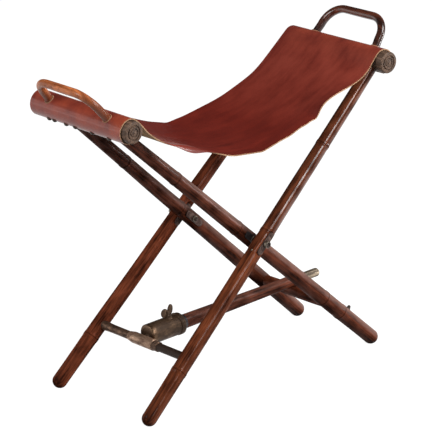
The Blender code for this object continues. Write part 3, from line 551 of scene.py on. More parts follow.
head_seat = PLATE_FACE + FIT
nut_seat = INNER_PIVOT_Y - OUTER_PIVOT_Y - PLATE_FACE - FIT
bolt_end = nut_seat - NUT_BORE_DEPTH
bolt_outline = [(radius, head_seat + height) for radius, height in BOLT_HEAD]
bolt_outline += [(BOLT_RADIUS, head_seat), (BOLT_RADIUS, bolt_end), (0, bolt_end)]
nut_outline = [(radius, nut_seat - height) for radius, height in NUT_CAP]
nut_outline += [(BOLT_BORE, nut_seat), (BOLT_BORE, bolt_end - FIT), (0, bolt_end - FIT)]
washer_start = -head_seat
washer_end = washer_start - WASHER_THICKNESS
washer_rim = WASHER_RADIUS - WASHER_EDGE
washer_outline = [
    (BOLT_BORE, washer_start), (washer_rim, washer_start), (WASHER_RADIUS, washer_start - WASHER_EDGE),
    (WASHER_RADIUS, washer_end + WASHER_EDGE), (washer_rim, washer_end), (BOLT_BORE, washer_end),
    (BOLT_BORE, washer_start),
]
for side_label, side_sign in SIDES.items():
    for is_outer, outward, kind, pins_show, plate_iron in (
        (True, 1, "outer_strap_plate", True, strap_iron),
        (True, -1, "outer_wear_plate", False, strap_iron),
        (False, 1, "inner_wear_plate", False, wear_iron),
        (False, -1, "inner_strap_plate", True, strap_iron),
    ):
        at_pivot, up_leg = leg_line(is_outer, side_sign)
        facing = outward * side_sign * ALONG_Y
        lengthwise = Vector((up_leg.x, 0, up_leg.z))
        piece_of(
            f"{kind}_{side_label}", "iron", make_plate(pins_show),
            axes_at(at_pivot + facing * (FLAT_FROM_AXIS + FIT), facing, lengthwise), plate_iron,
            FRAMES[is_outer],
        )

    on_bolt = axes_at(PIVOT + side_sign * OUTER_PIVOT_Y * ALONG_Y, side_sign * ALONG_Y, ALONG_X)
    for kind, outline in (("bolt", bolt_outline), ("nut", nut_outline), ("washer", washer_outline)):
        widest = max(radius for radius, height in outline)

        def rubbed_rim(place):
            from_axis = math.hypot(place.x, place.y) / widest
            on_rim = RUBBED_RIM[0] < from_axis < RUBBED_RIM[1]
            return BOLT_RUB if on_rim or from_axis < RUBBED_MIDDLE else BOLT_DIRT

        fastener = turned(outline, 40)
        paint(fastener, "rub", rubbed_rim)
        piece_of(
            f"pivot_{kind}_{side_label}", "iron", fastener, on_bolt, worn_bolt_iron, "outer_frame",
        )

# Iron cross rod: a round bar let into both outer legs, flared where it meets the far one. A short
# stop ring, driven on beside the brace's sleeve, keeps the brace in the middle of the rod.
UP = Vector((0, 0, 1))
ROD_HEIGHT = 0.0945
ROD_X = (PIVOT.z - ROD_HEIGHT) * math.tan(LEAN)
ROD_AXIS = Vector((-ROD_X, 0, ROD_HEIGHT))
ROD_RADIUS = 0.0074
ROD_INTO_LEG = 0.005
ROD_LEG_Y = OUTER_PIVOT_Y + (PIVOT.z - ROD_HEIGHT) / math.cos(LEAN) * math.tan(OUTER_SPLAY)
ROD_HALF_LENGTH = ROD_LEG_Y + ROD_INTO_LEG
ROD_FLARE = 0.0010
ROD_FLARE_FROM_END = 0.014
ROD_FLARE_LENGTH = 0.030
ROD_PAINTED_SHADE = -0.30  # painted shade on the near side of the stop ring
SLEEVE_NEAR_END = -0.030
RING_FACE = SLEEVE_NEAR_END - FIT
RING_LENGTH = 0.0125
RING_RADIUS = 0.0089
RING_BORE = ROD_RADIUS + FIT
RING_EDGE = 0.0009
RING_GROOVE = 0.0005
ROD_BROWN = (0.034, 0.019, 0.013)
ROD_BARE = (0.215, 0.125, 0.082)

rod_iron = metal_finish("rod_iron", ROD_BROWN, ROD_BARE, 0.0)
flare_start = ROD_HALF_LENGTH - ROD_FLARE_FROM_END
rod_outline = [(0, ROD_HALF_LENGTH), (ROD_RADIUS + ROD_FLARE, ROD_HALF_LENGTH)]
rod_outline += [
    (ROD_RADIUS + eased(ROD_FLARE, 0, k / 10), flare_start - ROD_FLARE_LENGTH * k / 10)
    for k in range(1, 11)
]
rod_outline += [(ROD_RADIUS, ROD_HALF_LENGTH * k / 10) for k in range(5, -10, -1)]
rod_outline += [(ROD_RADIUS, -ROD_HALF_LENGTH), (0, -ROD_HALF_LENGTH)]
rod_shape = turned(rod_outline, 40)
# Painted shade: the rod is coloured darker on the near side of the stop ring.
paint(rod_shape, "rub", lambda place: ROD_PAINTED_SHADE if place.z < RING_FACE - RING_LENGTH / 2 else 0)
on_rod = axes_at(ROD_AXIS, ALONG_Y, UP)
piece_of("iron_cross_rod", "bar", rod_shape, on_rod, rod_iron, "outer_frame")

ring_end = RING_FACE - RING_LENGTH
ring_outline = [
    (RING_BORE, RING_FACE), (RING_RADIUS - RING_EDGE, RING_FACE), (RING_RADIUS, RING_FACE - RING_EDGE),
]
for share, drop in ((0.40, 0), (0.45, 1), (0.50, 1), (0.55, 0)):
    ring_outline.append((RING_RADIUS - drop * RING_GROOVE, RING_FACE - share * RING_LENGTH))
ring_outline += [
    (RING_RADIUS, ring_end + RING_EDGE), (RING_RADIUS - RING_EDGE, ring_end), (RING_BORE, ring_end),
    (RING_BORE, RING_FACE),
]
piece_of("sleeve_stop_ring", "iron", turned(ring_outline, 40), on_rod, rod_iron, "outer_frame")

# Wooden stretcher: a turned bar of the same dark cane between the two inner legs, tenoned into them.
# The brace rests on it. A short iron stud stands on the near inner leg, above the foot.
STRETCHER_RADIUS = 0.0108
STRETCHER_NARROWS = 0.0010
STRETCHER_TENON = 0.0070
STRETCHER_BITE = 0.005
STUD_FROM_FOOT = 0.080
STUD_SINKS = 0.0060
STUD_OUTLINE = [
    (0, 0.0062), (0.0014, 0.0060), (0.0025, 0.0051), (0.0030, 0.0038), (0.0031, 0.0016), (0.0040, 0.0013),
    (0.0042, 0.0006), (0.0042, -0.0006), (0.0031, -0.0012), (0.0025, -STUD_SINKS), (0, -STUD_SINKS),
]
BLACKED_BARE = (0.125, 0.098, 0.084)


def leg_at(outer, side, height):
    """The point on a leg's axis at a height above the floor, and the cane's half width there."""
    point, direction = leg_line(outer, side)
    climb = (height - PIVOT.z) / direction.z
    return point + direction * climb, leg_half_width(climb, *leg_ends(direction))


stretcher_leg, stretcher_leg_width = leg_at(False, 1, ROD_HEIGHT)
shoulder = stretcher_leg.y - stretcher_leg_width
stretcher_end = stretcher_leg.y + STRETCHER_BITE
half_outline = [(0, stretcher_end), (STRETCHER_TENON, stretcher_end), (STRETCHER_TENON, shoulder)]
half_outline += [
    (STRETCHER_RADIUS - STRETCHER_NARROWS * (1 - k / 8) ** 2, shoulder * (1 - k / 8 * 0.9)) for k in range(9)
]
stretcher_outline = half_outline + [(radius, -height) for radius, height in reversed(half_outline)]
piece_of(
    "wood_stretcher", "bar", turned(stretcher_outline, 40),
    axes_at((stretcher_leg.x, 0, ROD_HEIGHT), ALONG_Y, UP), dark_cane, "inner_frame",
)

blacked_iron = metal_finish("blacked_iron", BLACKED_IRON, BLACKED_BARE, -0.06)
stud_centre, stud_leg_width = leg_at(False, -1, FOOT_AXIS_HEIGHT + STUD_FROM_FOOT * math.cos(LEAN))
upper_side = Vector((math.cos(LEAN), 0, math.sin(LEAN)))
piece_of(
    "leg_stud", "peg", turned(STUD_OUTLINE, 24),
    axes_at(stud_centre + upper_side * stud_leg_width, upper_side, ALONG_Y), blacked_iron,
    "inner_frame",
)

# Seat rails: two turned dowels that the leg tops are tenoned into. Their ends stand out of the
# leather, with a rounded edge, turned rings and the pip that the lathe's centre left.
RAIL_HALF_LENGTH = 0.124
RIGHT_RAIL_SHIFT = -0.004
RIGHT_RAIL_LIFT = 0.0010  # the right rail has settled: its near end stands higher than its far end
RIGHT_RAIL_FALL = 0.0190  # for each metre along the rail
RIGHT_RAIL_HINGE = -0.110
RAIL_RADIUS = 0.019
RAIL_EDGE_ROUND = 0.0026
RAIL_RINGS = ((0.0072, 0.0010), (0.0120, 0.0016))  # radius and depth
RAIL_RING_WIDTH = 0.0013
RAIL_PIP_RADIUS = 0.0030
RAIL_PIP_HEIGHT = 0.0011
RAIL_DARK = (0.050, 0.030, 0.021)
RAIL_LIGHT = (0.235, 0.139, 0.091)
RAIL_WORDS = {True: "right", False: "left"}


def rail_axis(right):
    return Vector((RAIL_X if right else -RAIL_X, 0, RAIL_HEIGHT))


def settled(right, y):
    """How far a rail and what it carries stand above their plain height at y along the rail."""
    return RIGHT_RAIL_LIFT - RIGHT_RAIL_FALL * (y - RIGHT_RAIL_HINGE) if right else 0


def settle(shape, placement, right):
    """Moves a shape that a rail carries to where the settled rail has taken it."""
    inverse = placement.inverted()
    for vertex in shape.verts:
        place = placement @ vertex.co
        place.z += settled(right, place.y)
        vertex.co = inverse @ place


def round_rail(right, angle):
    """Direction out of a rail's axis, turned by an angle from the inward side upwards."""
    return Vector((-math.cos(angle) if right else math.cos(angle), 0, math.sin(angle)))


def rounded(radius, height, round_by, steps):
    """The outline of a rounded edge, from an end face out to the side."""
    angles = [math.pi / 2 * step / steps for step in range(steps + 1)]
    return [
        (radius - round_by * (1 - math.sin(angle)), height - round_by * (1 - math.cos(angle)))
        for angle in angles
    ]


def rail_wood_finish():
    """Old unvarnished wood: year rings on the ends and streaks along the sides."""
    material, tree, shader = new_finish("rail_wood_worn")
    along = painted(tree, "grain", "Vector")
    grain = grained(tree, along, RAIL_DARK, RAIL_LIGHT, 0.5)
    rings = put(tree, "ShaderNodeTexWave", {
        "Vector": scaled(tree, along, (1, 1, 0.02), Location=(0.004, 0.002, 0)),
        "Scale": 210.0, "Distortion": 2.2, "Detail": 2.0, "Detail Scale": 1.6,
    }, wave_type="RINGS", rings_direction="Z").outputs["Fac"]
    feed(tree, shader, {
        "Base Color": mixed(tree, spread(tree, rings, 0.2, 0.9, 0.0, 0.55), grain["Color"], RAIL_DARK),
        "Roughness": spread(tree, grain["Rough"], 0.0, 1.0, 0.46, 0.62),
        "Normal": bumped(tree, worked(tree, "ADD", rings, grain["Height"]), 0.25),
        "Specular IOR Level": 0.25,
    })
    return material


rail_end = [
    (0, RAIL_HALF_LENGTH + RAIL_PIP_HEIGHT),
    (RAIL_PIP_RADIUS * 0.6, RAIL_HALF_LENGTH + RAIL_PIP_HEIGHT * 0.8),
    (RAIL_PIP_RADIUS, RAIL_HALF_LENGTH),
]
for radius, depth in RAIL_RINGS:
    for step, drop in ((-1, 0), (-0.4, 1), (0.4, 1), (1, 0)):
        rail_end.append((radius + step * RAIL_RING_WIDTH, RAIL_HALF_LENGTH - drop * depth))
rail_end += rounded(RAIL_RADIUS, RAIL_HALF_LENGTH, RAIL_EDGE_ROUND, 5)
rail_outline = rail_end + [(RAIL_RADIUS, RAIL_HALF_LENGTH * k / 8) for k in range(7, -8, -1)]
rail_outline += [(radius, -height) for radius, height in reversed(rail_end)]
rail_wood = rail_wood_finish()
for is_right in (True, False):
    rail_shape = turned(rail_outline, 56)
    on_rail = axes_at(rail_axis(is_right) + (RIGHT_RAIL_SHIFT if is_right else 0) * ALONG_Y, ALONG_Y, UP)
    settle(rail_shape, on_rail, is_right)
    piece_of(
        f"{RAIL_WORDS[is_right]}_seat_rail", "dowel", rail_shape, on_rail, rail_wood,
        FRAMES[is_right],
    )

# Hand grips: two round rods of bentwood, each steamed into a loop, with its ends let into a rail through
# holes in the leather. The left one is rubbed pale by hands, the right one keeps its dark stain.
GRIP_RADIUS = 0.00725
GRIP_FOOT_SPAN = 0.160
GRIP_TOP_SPAN = 0.146
GRIP_SHIFTS = {True: -0.0045, False: 0.0040}  # of the right and the left grip, along the rail
GRIP_RISE = 0.075
GRIP_CORNER = 0.038
GRIP_STRAIGHT = GRIP_RISE - GRIP_CORNER
GRIP_LEAN = math.radians(39)
GRIP_STOP = 0.007
GRIP_STEPS = 28
GRIP_WAVER = 0.02  # of its thickness
FAR_STAIN_AND_SHADE = (4.2, -0.75)  # how fast the stain and painted shade deepen down the loop's far half, and their level at the top
NEAR_STAIN = (1.6, -0.3)
RIGHT_BEND_STAIN = 0.3
LEFT_BEND_STAIN = 0.85
LEFT_BEND_FROM = 0.025
LEFT_BEND_OVER = 0.045
PALE_STAIN = (0.170, 0.041, 0.015)
PALE_WOOD = (0.700, 0.210, 0.068)


def swept(path, radii, steps):
    """A round bar along a path of points: a ring at each point, bridged to the next."""
    shape = bmesh.new()
    rings = []
    for index, (point, radius) in enumerate(zip(path, radii)):
        ahead = path[min(index + 1, len(path) - 1)] - path[max(index - 1, 0)]
        placement = axes_at(point, ahead, ALONG_X)
        ring = bmesh.ops.create_circle(shape, segments=steps, radius=radius, matrix=placement)["verts"]
        rings.append([edge for edge in shape.edges if edge.verts[0] in ring and edge.verts[1] in ring])
    for first, second in zip(rings, rings[1:]):
        bmesh.ops.bridge_loops(shape, edges=first + second)
    for ring in (rings[0], rings[-1]):
        bmesh.ops.contextual_create(shape, geom=ring)
    bmesh.ops.recalc_face_normals(shape, faces=shape.faces)
    return shape


def grip_span(rise):
    """The width of a grip between its two straight ends, at a distance from the rail's axis."""
    return GRIP_FOOT_SPAN + (GRIP_TOP_SPAN - GRIP_FOOT_SPAN) * rise / GRIP_STRAIGHT


def grip_path(right):
    outward = round_rail(right, math.pi / 2 + GRIP_LEAN)
    axis = rail_axis(right) + GRIP_SHIFTS[right] * ALONG_Y
    rises = [GRIP_STOP + (GRIP_STRAIGHT - GRIP_STOP) * k / 4 for k in range(4)]
    path = [(rise, grip_span(rise) / 2) for rise in rises]
    top_half = GRIP_TOP_SPAN / 2 - GRIP_CORNER
    for step in range(13):
        angle = math.pi / 2 * step / 12
        path.append((
            GRIP_STRAIGHT + GRIP_CORNER * math.sin(angle), top_half + GRIP_CORNER * math.cos(angle),
        ))
    path += [(GRIP_RISE, top_half * k / 4) for k in (3, 2, 1)]
    both = [(rise, -half) for rise, half in path] + [(GRIP_RISE, 0)] + path[::-1]
    return [axis + outward * rise + half * ALONG_Y for rise, half in both]


def bentwood_finish(name, dark, light, gloss, specular, coat, coat_blur):
    """Bentwood that is lighter between its darker ends: stain, and down the far half of a loop also painted
    shade.
    """
    material, tree, shader = new_finish(name)
    along = scaled(tree, painted(tree, "grain", "Vector"), (1, 0.08, 1))
    grain = grained(tree, along, dark, light, 0.35)
    stained = spread(tree, painted(tree, "ring"), 0.0, 1.0, 0.0, 0.9)
    feed(tree, shader, {
        "Base Color": mixed(tree, stained, grain["Color"], dark),
        "Roughness": spread(tree, grain["Rough"], 0.0, 1.0, gloss, gloss + 0.15),
        "Normal": bumped(tree, grain["Height"], 0.12),
        "Specular IOR Level": specular, "Coat Weight": coat, "Coat Roughness": coat_blur,
    })
    return material


pale_bentwood = bentwood_finish("pale_bentwood_rubbed", PALE_STAIN, PALE_WOOD, 0.36, 0.16, 0.3, 0.22)
dark_bentwood = bentwood_finish("dark_bentwood_stained", DARK_STAIN, DARK_CANE, 0.40, 0.15, 0.9, 0.14)
for is_right, grip_wood, grip_slot in (
    (True, dark_bentwood, "dark_cane"), (False, pale_bentwood, "pale_bentwood"),
):
    def stain_and_shade_at(place):
        below = (RAIL_HEIGHT + GRIP_RISE * math.cos(GRIP_LEAN) - place.z) / GRIP_RISE
        along_grip = place.y - GRIP_SHIFTS[is_right]
        deepens, level = FAR_STAIN_AND_SHADE if along_grip > 0 else NEAR_STAIN
        # down the far half the darkening is stain and painted shade, down the near half it is stain
        stain = below * deepens + level
        if along_grip <= 0:
            bend = eased(0, LEFT_BEND_STAIN, (-along_grip - LEFT_BEND_FROM) / LEFT_BEND_OVER)
            stain += RIGHT_BEND_STAIN if is_right else bend
        return min(max(stain, 0), 1)

    route = grip_path(is_right)
    thickness = [GRIP_RADIUS * (1 + GRIP_WAVER * math.sin(0.45 * k)) for k in range(len(route))]
    loop = swept(route, thickness, GRIP_STEPS)
    settle(loop, Matrix(), is_right)
    paint(loop, "ring", stain_and_shade_at)
    piece_of(
        f"{RAIL_WORDS[is_right]}_hand_grip", "loop", loop, Matrix(), grip_wood, FRAMES[is_right],
    )

# Seat: one piece of thick red-brown hide, wrapped over both rails and tacked under them. It sags
# between the rails, its free edges buckle, droop and curl, and its cut edge and flesh side are tan.
HIDE_THICKNESS = 0.0020
HIDE_WIDTH = 0.235
HIDE_SHIFT = 0.0035
HIDE_LENGTH = 0.759
HIDE_RADIUS = RAIL_RADIUS + 0.0022
HIDE_SAG = 0.114
HIDE_LEAVES_AT = math.radians(50)
HIDE_ENDS_AT = math.radians(268)
WRAP_STEPS = 30
LOOSENS_OVER = 6  # steps from the rail to the free sag
SAG_STEPS = 132
CROSS_STEPS = 110
EDGE_CROWDING = 1.5  # draws the steps across the hide closer at its edges
# Each form of the hide is a height, its middle along the seat and its half length.
LEFT_HOLLOW = (0.0085, -0.225, 0.048)
RIGHT_HOLLOW = (0.0075, 0.243, 0.034)
NEAR_BUCKLES = (
    (0.0195, 0.150, 0.052), (0.0088, 0.062, 0.040), (0.0035, -0.105, 0.030), (0.0070, -0.156, 0.032),
)
NEAR_NOTCHES = (
    (0.0045, 0.121, 0.017), (0.0068, 0.1265, 0.009), (0.0026, 0.104, 0.014), (0.0036, 0.065, 0.020),
    (0.0017, 0.002, 0.010), (-0.0014, -0.036, 0.018),
)
FAR_BUCKLES = (
    (0.0155, -0.115, 0.075), (0.0042, 0.062, 0.050), (-0.0050, 0.195, 0.035), (-0.0024, -0.010, 0.014),
)
LIP = (0.0115, -0.155, 0.027)
LIP_SHINE = (1.0, -0.157, 0.032)
CREASES = (  # height, start, end and width
    (0.0016, (-0.17, -0.085), (0.02, -0.055), 0.010),
    (-0.0014, (-0.13, -0.10), (0.05, -0.085), 0.009),
    (0.0013, (-0.115, -0.082), (0.010, -0.119), 0.006),
    (0.0014, (0.02, -0.09), (0.17, 0.02), 0.014),
    (-0.0012, (0.06, -0.10), (0.20, -0.02), 0.012),
    (0.0012, (-0.05, 0.02), (0.10, 0.09), 0.018),
)
HIDE_WAVER = 0.0011
ROLL_POLISH = 0.55
RUB_AND_LIGHT_MIDDLE = 0.60  # of the steps round a rail
RUB_AND_LIGHT_LENGTH = 0.38
NEAR_RUB = 0.5  # at the near end of the left rail
NEAR_RUB_FROM = 0.060
NEAR_RUB_OVER = 0.045
HIDE_RED = (0.170, 0.0168, 0.0090)
HIDE_DARK = (0.118, 0.0115, 0.0070)
# A lighter red that paints light on the slopes of the sag.
HIDE_SLOPE_LIGHT = (0.290, 0.050, 0.031)
# An orange for the patches over the rails: partly wear, partly painted light.
HIDE_RUBBED_AND_LIT = (0.415, 0.070, 0.028)
FLESH_TAN = (0.800, 0.520, 0.300)
EDGE_TAN = (0.560, 0.330, 0.190)


def hump(x, height, middle, length):
    return height * math.exp(-(((x - middle) / length) ** 2))


def humps(x, forms):
    return sum(hump(x, *form) for form in forms)


def crease(x, y, height, start, end, width):
    """How far a straight crease lifts a point, fading out at the crease's ends."""
    run = Vector(end) - Vector(start)
    reach = (Vector((x, y)) - Vector(start)).dot(run) / run.length_squared
    away = (Vector((x, y)) - Vector(start) - run * reach).length
    return height * math.exp(-((away / width) ** 2)) * math.exp(-(((reach - 0.5) / 0.42) ** 4))


def hide_wave(x, y):
    """How far the sling stands off its plain sag at x along the seat and y across it."""
    near = max(-y / (HIDE_WIDTH / 2), 0)
    far = max(y / (HIDE_WIDTH / 2), 0)
    wave = near ** 2 * humps(x, NEAR_BUCKLES) - near ** 5 * humps(x, NEAR_NOTCHES)
    wave += far ** 2 * humps(x, FAR_BUCKLES)
    wave -= hump(x, *LEFT_HOLLOW) * (1 - 0.6 * far) + hump(x, *RIGHT_HOLLOW) * near
    lip = hump(x, *LIP)
    over = max(lip - (y + HIDE_WIDTH / 2), 0)
    wave -= lip - math.sqrt(max(lip * lip - over * over, 0))
    wave += sum(crease(x, y, *line) for line in CREASES)
    return wave + HIDE_WAVER * noise.noise(Vector((x * 11, y * 14, 4.2)))


def hide_line():
    """The sling's middle line from the tacked end under the left rail to the one under the right."""
    wrap = []
    for step in range(WRAP_STEPS + 1):
        angle = HIDE_ENDS_AT + (HIDE_LEAVES_AT - HIDE_ENDS_AT) * step / WRAP_STEPS
        wrap.append(rail_axis(False) + round_rail(False, angle) * HIDE_RADIUS)
    leave = wrap[-1]
    curl = -leave.x / math.tan(HIDE_LEAVES_AT) / HIDE_SAG
    line = list(wrap)
    for step in range(1, SAG_STEPS):
        x = leave.x * (1 - 2 * step / SAG_STEPS)
        line.append(Vector((x, 0, leave.z - HIDE_SAG * (1 - abs(x / leave.x) ** curl))))
    return line + [Vector((-point.x, 0, point.z)) for point in reversed(wrap)]


def make_hide():
    line = hide_line()
    shape = bmesh.new()
    bmesh.ops.create_grid(shape, x_segments=len(line) - 1, y_segments=CROSS_STEPS, size=1)
    laid = shape.verts.layers.float_vector.new("laid")
    rubbed_and_lit = shape.verts.layers.float.new("rubbed_and_lit")
    polish = shape.verts.layers.float.new("polish")
    length = [0.0]
    for first, second in zip(line, line[1:]):
        length.append(length[-1] + (second - first).length)
    for vertex in shape.verts:
        index = round((vertex.co.x + 1) / 2 * (len(line) - 1))
        share = math.copysign(1 - (1 - abs(vertex.co.y)) ** EDGE_CROWDING, vertex.co.y)
        y = share * HIDE_WIDTH / 2
        place = line[index] + (y + HIDE_SHIFT) * ALONG_Y
        wrapped = min(index, len(line) - 1 - index)
        loose = eased(0, 1, (wrapped - WRAP_STEPS) / LOOSENS_OVER)
        place.z += loose * hide_wave(place.x, y)
        if place.x > 0:
            place.z += settled(True, place.y) * eased(0, 1, place.x / RAIL_X)
        vertex[laid] = Vector((length[index], y, 0))
        vertex[polish] = max(ROLL_POLISH * (1 - loose), hump(place.x, *LIP_SHINE) * max(-share, 0) ** 10)
        # Orange round the outer side of each rail: partly wear, partly painted light.
        vertex[rubbed_and_lit] = hump(wrapped, 1, WRAP_STEPS * RUB_AND_LIGHT_MIDDLE, WRAP_STEPS * RUB_AND_LIGHT_LENGTH)
        if place.x < 0:
            vertex[rubbed_and_lit] += NEAR_RUB * (1 - loose) * eased(0, 1, (-y - NEAR_RUB_FROM) / NEAR_RUB_OVER)
        vertex.co = place
    bmesh.ops.recalc_face_normals(shape, faces=shape.faces)
    top = max(shape.faces, key=lambda face: face.calc_center_median().z)
    if top.normal.z < 0:
        bmesh.ops.reverse_faces(shape, faces=shape.faces)
    return shape


def hide_finish():
    """Oiled hide: fine pebbled grain, cloudy dye, slopes lightened with painted light, and orange patches
    over the rails that are partly wear and partly painted light.
    """
    material, tree, shader = new_finish("red_hide")
    laid = painted(tree, "laid", "Vector")
    cloud = clouds(tree, laid, (17, 22, 20), 5.0, Roughness=0.6)
    drawn = clouds(tree, laid, (16, 90, 20), 4.0, turn=math.radians(32))
    dye = blended(tree, 0.35, cloud, drawn)
    colour = mixed(tree, spread(tree, dye, 0.36, 0.64), HIDE_DARK, HIDE_RED)
    from_end = put(tree, "ShaderNodeSeparateXYZ", {"Vector": laid}).outputs["X"]
    from_middle = worked(tree, "ABSOLUTE", worked(tree, "SUBTRACT", from_end, HIDE_LENGTH / 2))
    # Painted light: away from the middle of the sag the slopes, and the left slope most, are coloured lighter
    # in patches.
    off_left_rail = spread(tree, from_end, 0.07, 0.10)
    left_slope = worked(tree, "MULTIPLY", off_left_rail, spread(tree, from_end, 0.14, 0.30, 0.5, 0.0))
    patchy = worked(tree, "ADD", spread(tree, dye, 0.34, 0.6, 0.2, 0.7), left_slope)
    slope_light = worked(tree, "MULTIPLY", spread(tree, from_middle, 0.07, 0.24), patchy)
    colour = mixed(tree, slope_light, colour, HIDE_SLOPE_LIGHT)
    patch = worked(tree, "MULTIPLY", painted(tree, "rubbed_and_lit"), spread(tree, cloud, 0.35, 0.7))
    pebble = put(tree, "ShaderNodeTexVoronoi", {
        "Vector": laid, "Scale": 820.0, "Randomness": 0.9,
    }, feature="F1").outputs["Distance"]
    skin = worked(tree, "MULTIPLY_ADD", pebble, 0.35, clouds(tree, laid, (210, 300, 200), 3.0))
    feed(tree, shader, {
        "Base Color": mixed(tree, spread(tree, patch, 0.0, 0.9, 0.0, 0.75), colour, HIDE_RUBBED_AND_LIT),
        "Roughness": spread(tree, cloud, 0.3, 0.7, 0.50, 0.62),
        "Normal": bumped(tree, skin, 0.22, 0.0006),
        "Specular IOR Level": 0.2, "Coat Weight": painted(tree, "polish"), "Coat Roughness": 0.20,
    })
    return material


def flesh_finish(name, colour, rough, where="laid"):
    """The unfinished fibres of the hide: suede on the flesh side and a burnished line on the cut edge, both
    darkened towards the far edge with painted shade.
    """
    material, tree, shader = new_finish(name)
    laid = painted(tree, where, "Vector")
    fibre = clouds(tree, laid, (420, 420, 400), 4.0)
    worn = blended(tree, 0.5, fibre, clouds(tree, laid, (30, 40, 30), 3.0))
    tone = mixed(tree, spread(tree, worn, 0.35, 0.65), tuple(part * 0.62 for part in colour), colour)
    # Painted shade: the colour darkens towards the far edge, as if in shadow.
    across = put(tree, "ShaderNodeSeparateXYZ", {"Vector": laid}).outputs["Y"]
    feed(tree, shader, {
        "Base Color": mixed(tree, spread(tree, across, 0.0, HIDE_WIDTH / 2), tone, HIDE_DARK),
        "Roughness": rough,
        "Normal": bumped(tree, fibre, 0.35, 0.0006),
        "Specular IOR Level": 0.2,
    })
    return material


hide_mesh = bpy.data.meshes.new("seat_hide")
hide_shape = make_hide()
hide_shape.to_mesh(hide_mesh)
hide_shape.free()
hide_mesh.materials.append(hide_finish())
hide_mesh.materials.append(flesh_finish("hide_flesh_side", FLESH_TAN, 0.85))
hide_mesh.materials.append(flesh_finish("hide_cut_edge", EDGE_TAN, 0.6))
hide_mesh.shade_smooth()
hide = set_out("seat_hide", hide_mesh)
thicken = hide.modifiers.new("thickness", "SOLIDIFY")
thicken.thickness = HIDE_THICKNESS
thicken.offset = 0
thicken.use_even_offset = True
thicken.material_offset = 1
thicken.material_offset_rim = 2
bpy.context.view_layer.update()
graph = bpy.context.evaluated_depsgraph_get()
hide.data = bpy.data.meshes.new_from_object(
    hide.evaluated_get(graph), preserve_all_data_layers=True, depsgraph=graph,
)
hide.data.name = "seat_hide_sewn"
hide.modifiers.clear()
hide.data.set_sharp_from_angle(angle=SMOOTH_BELOW)
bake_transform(hide)
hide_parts("seat_sling")

# Rims of the grip holes: the hide was cut and pressed up round each end of the hand grips, and the raw
# edge stands as a pale lip on the round of the rail. Its tan is partly the cut edge's own colour and
# partly a painted highlight.
HIDE_FACE = HIDE_RADIUS + HIDE_THICKNESS / 2
RIM_INSIDE = GRIP_RADIUS + FIT
RIM_TAN_AND_HIGHLIGHT = (0.420, 0.210, 0.120)
RIM_OUTLINE = [
    (RIM_INSIDE, -0.0008), (RIM_INSIDE, 0.0009), (RIM_INSIDE + 0.0005, 0.0013), (RIM_INSIDE + 0.0010, 0.0009),
    (RIM_INSIDE + 0.0015, 0.0002), (RIM_INSIDE + 0.0015, -0.0008), (RIM_INSIDE, -0.0008),
]

rim_leather = flesh_finish("hide_hole_rim", RIM_TAN_AND_HIGHLIGHT, 0.6, "grain")
for is_right, rail_word in RAIL_WORDS.items():
    rim_out = round_rail(is_right, math.pi / 2 + GRIP_LEAN)
    rim_across = rim_out.cross(ALONG_Y)
    for end_word, end_side in SIDES.items():
        rim_y = GRIP_SHIFTS[is_right] + end_side * grip_span(HIDE_FACE) / 2
        rim_spot = rail_axis(is_right) + rim_out * HIDE_FACE + rim_y * ALONG_Y
        on_hide = axes_at(rim_spot, rim_out, ALONG_Y)
        rim = turned(RIM_OUTLINE, 40)
        for vertex in rim.verts:
            place = on_hide @ vertex.co
            aside = (place - rim_spot).dot(rim_across)
            place -= rim_out * (HIDE_FACE - math.sqrt(HIDE_FACE ** 2 - aside ** 2))
            vertex.co = on_hide.inverted() @ place
        settle(rim, on_hide, is_right)
        piece_of(
            f"{rail_word}_grip_{end_word}", "rim", rim, on_hide, rim_leather, FRAMES[is_right],
            stands_for_node=False,
        )

# Tacks: iron dome heads in an uneven row under each rail, driven through the end of the hide into
# the wood. The row under the left rail shows in outline below the leather.
TACK_PLACES = (0.081, 0.067, 0.036, 0.012, -0.032, -0.076)
TACKS_AT = math.radians(232)
TACK_OUTLINE = [
    (0, 0.0030), (0.0012, 0.0029), (0.0025, 0.0024), (0.0037, 0.0015), (0.0045, 0.0006), (0.0048, 0),
    (0.0045, -0.0002), (0.0012, -0.0002), (0.0012, -0.0076), (0, -0.0100),
]

for is_right, rail_word in RAIL_WORDS.items():
    tack_out = round_rail(is_right, TACKS_AT)
    for number, tack_place in enumerate(TACK_PLACES, 1):
        tack_spot = rail_axis(is_right) + tack_out * HIDE_FACE + tack_place * ALONG_Y
        tack_spot.z += settled(is_right, tack_place)
        piece_of(
            f"{rail_word}_tack_{number}", "dome", turned(TACK_OUTLINE, 28),
            axes_at(tack_spot, tack_out, ALONG_Y), blacked_iron, FRAMES[is_right],
        )

# Sleeve and socket: an iron tube turns on the cross rod, and a cast bronze socket stands out of it on
# a short neck. The socket has a flat end, worn bright, with an eased rim made brighter still by a painted
# highlight, a collar round its mouth with an oil hole, and a boss for the thumb screw.
BRACE_RISE = 0.0075
BRACE_END_RADIUS = 0.0105
BRACE_TILT = math.asin((STRETCHER_RADIUS + BRACE_END_RADIUS + FIT - BRACE_RISE) / (2 * ROD_X))
SLEEVE_FAR_END = 0.034
SLEEVE_RADIUS = 0.0100
SLEEVE_EDGE = 0.0008
SLEEVE_TAPER = 0.012
SLEEVE_THIN_WALL = 0.0006
SOCKET_START = 0.0094
SOCKET_LENGTH = 0.0741
SOCKET_RADIUS = 0.0185
SOCKET_RIM = 0.0016
SOCKET_BARREL = 0.045
SOCKET_FLOOR = 0.012
SOCKET_BORE = 0.0130
MOUTH_EDGE = 0.0008
COLLAR_RADIUS = SOCKET_RADIUS + 0.0010
COLLAR_ROUND = 0.0030
COLLAR_BACK = SOCKET_LENGTH - 0.010
NECK_RADIUS = 0.0078
SCREW_AT = 0.0565
SCREW_SEAT = 0.0210
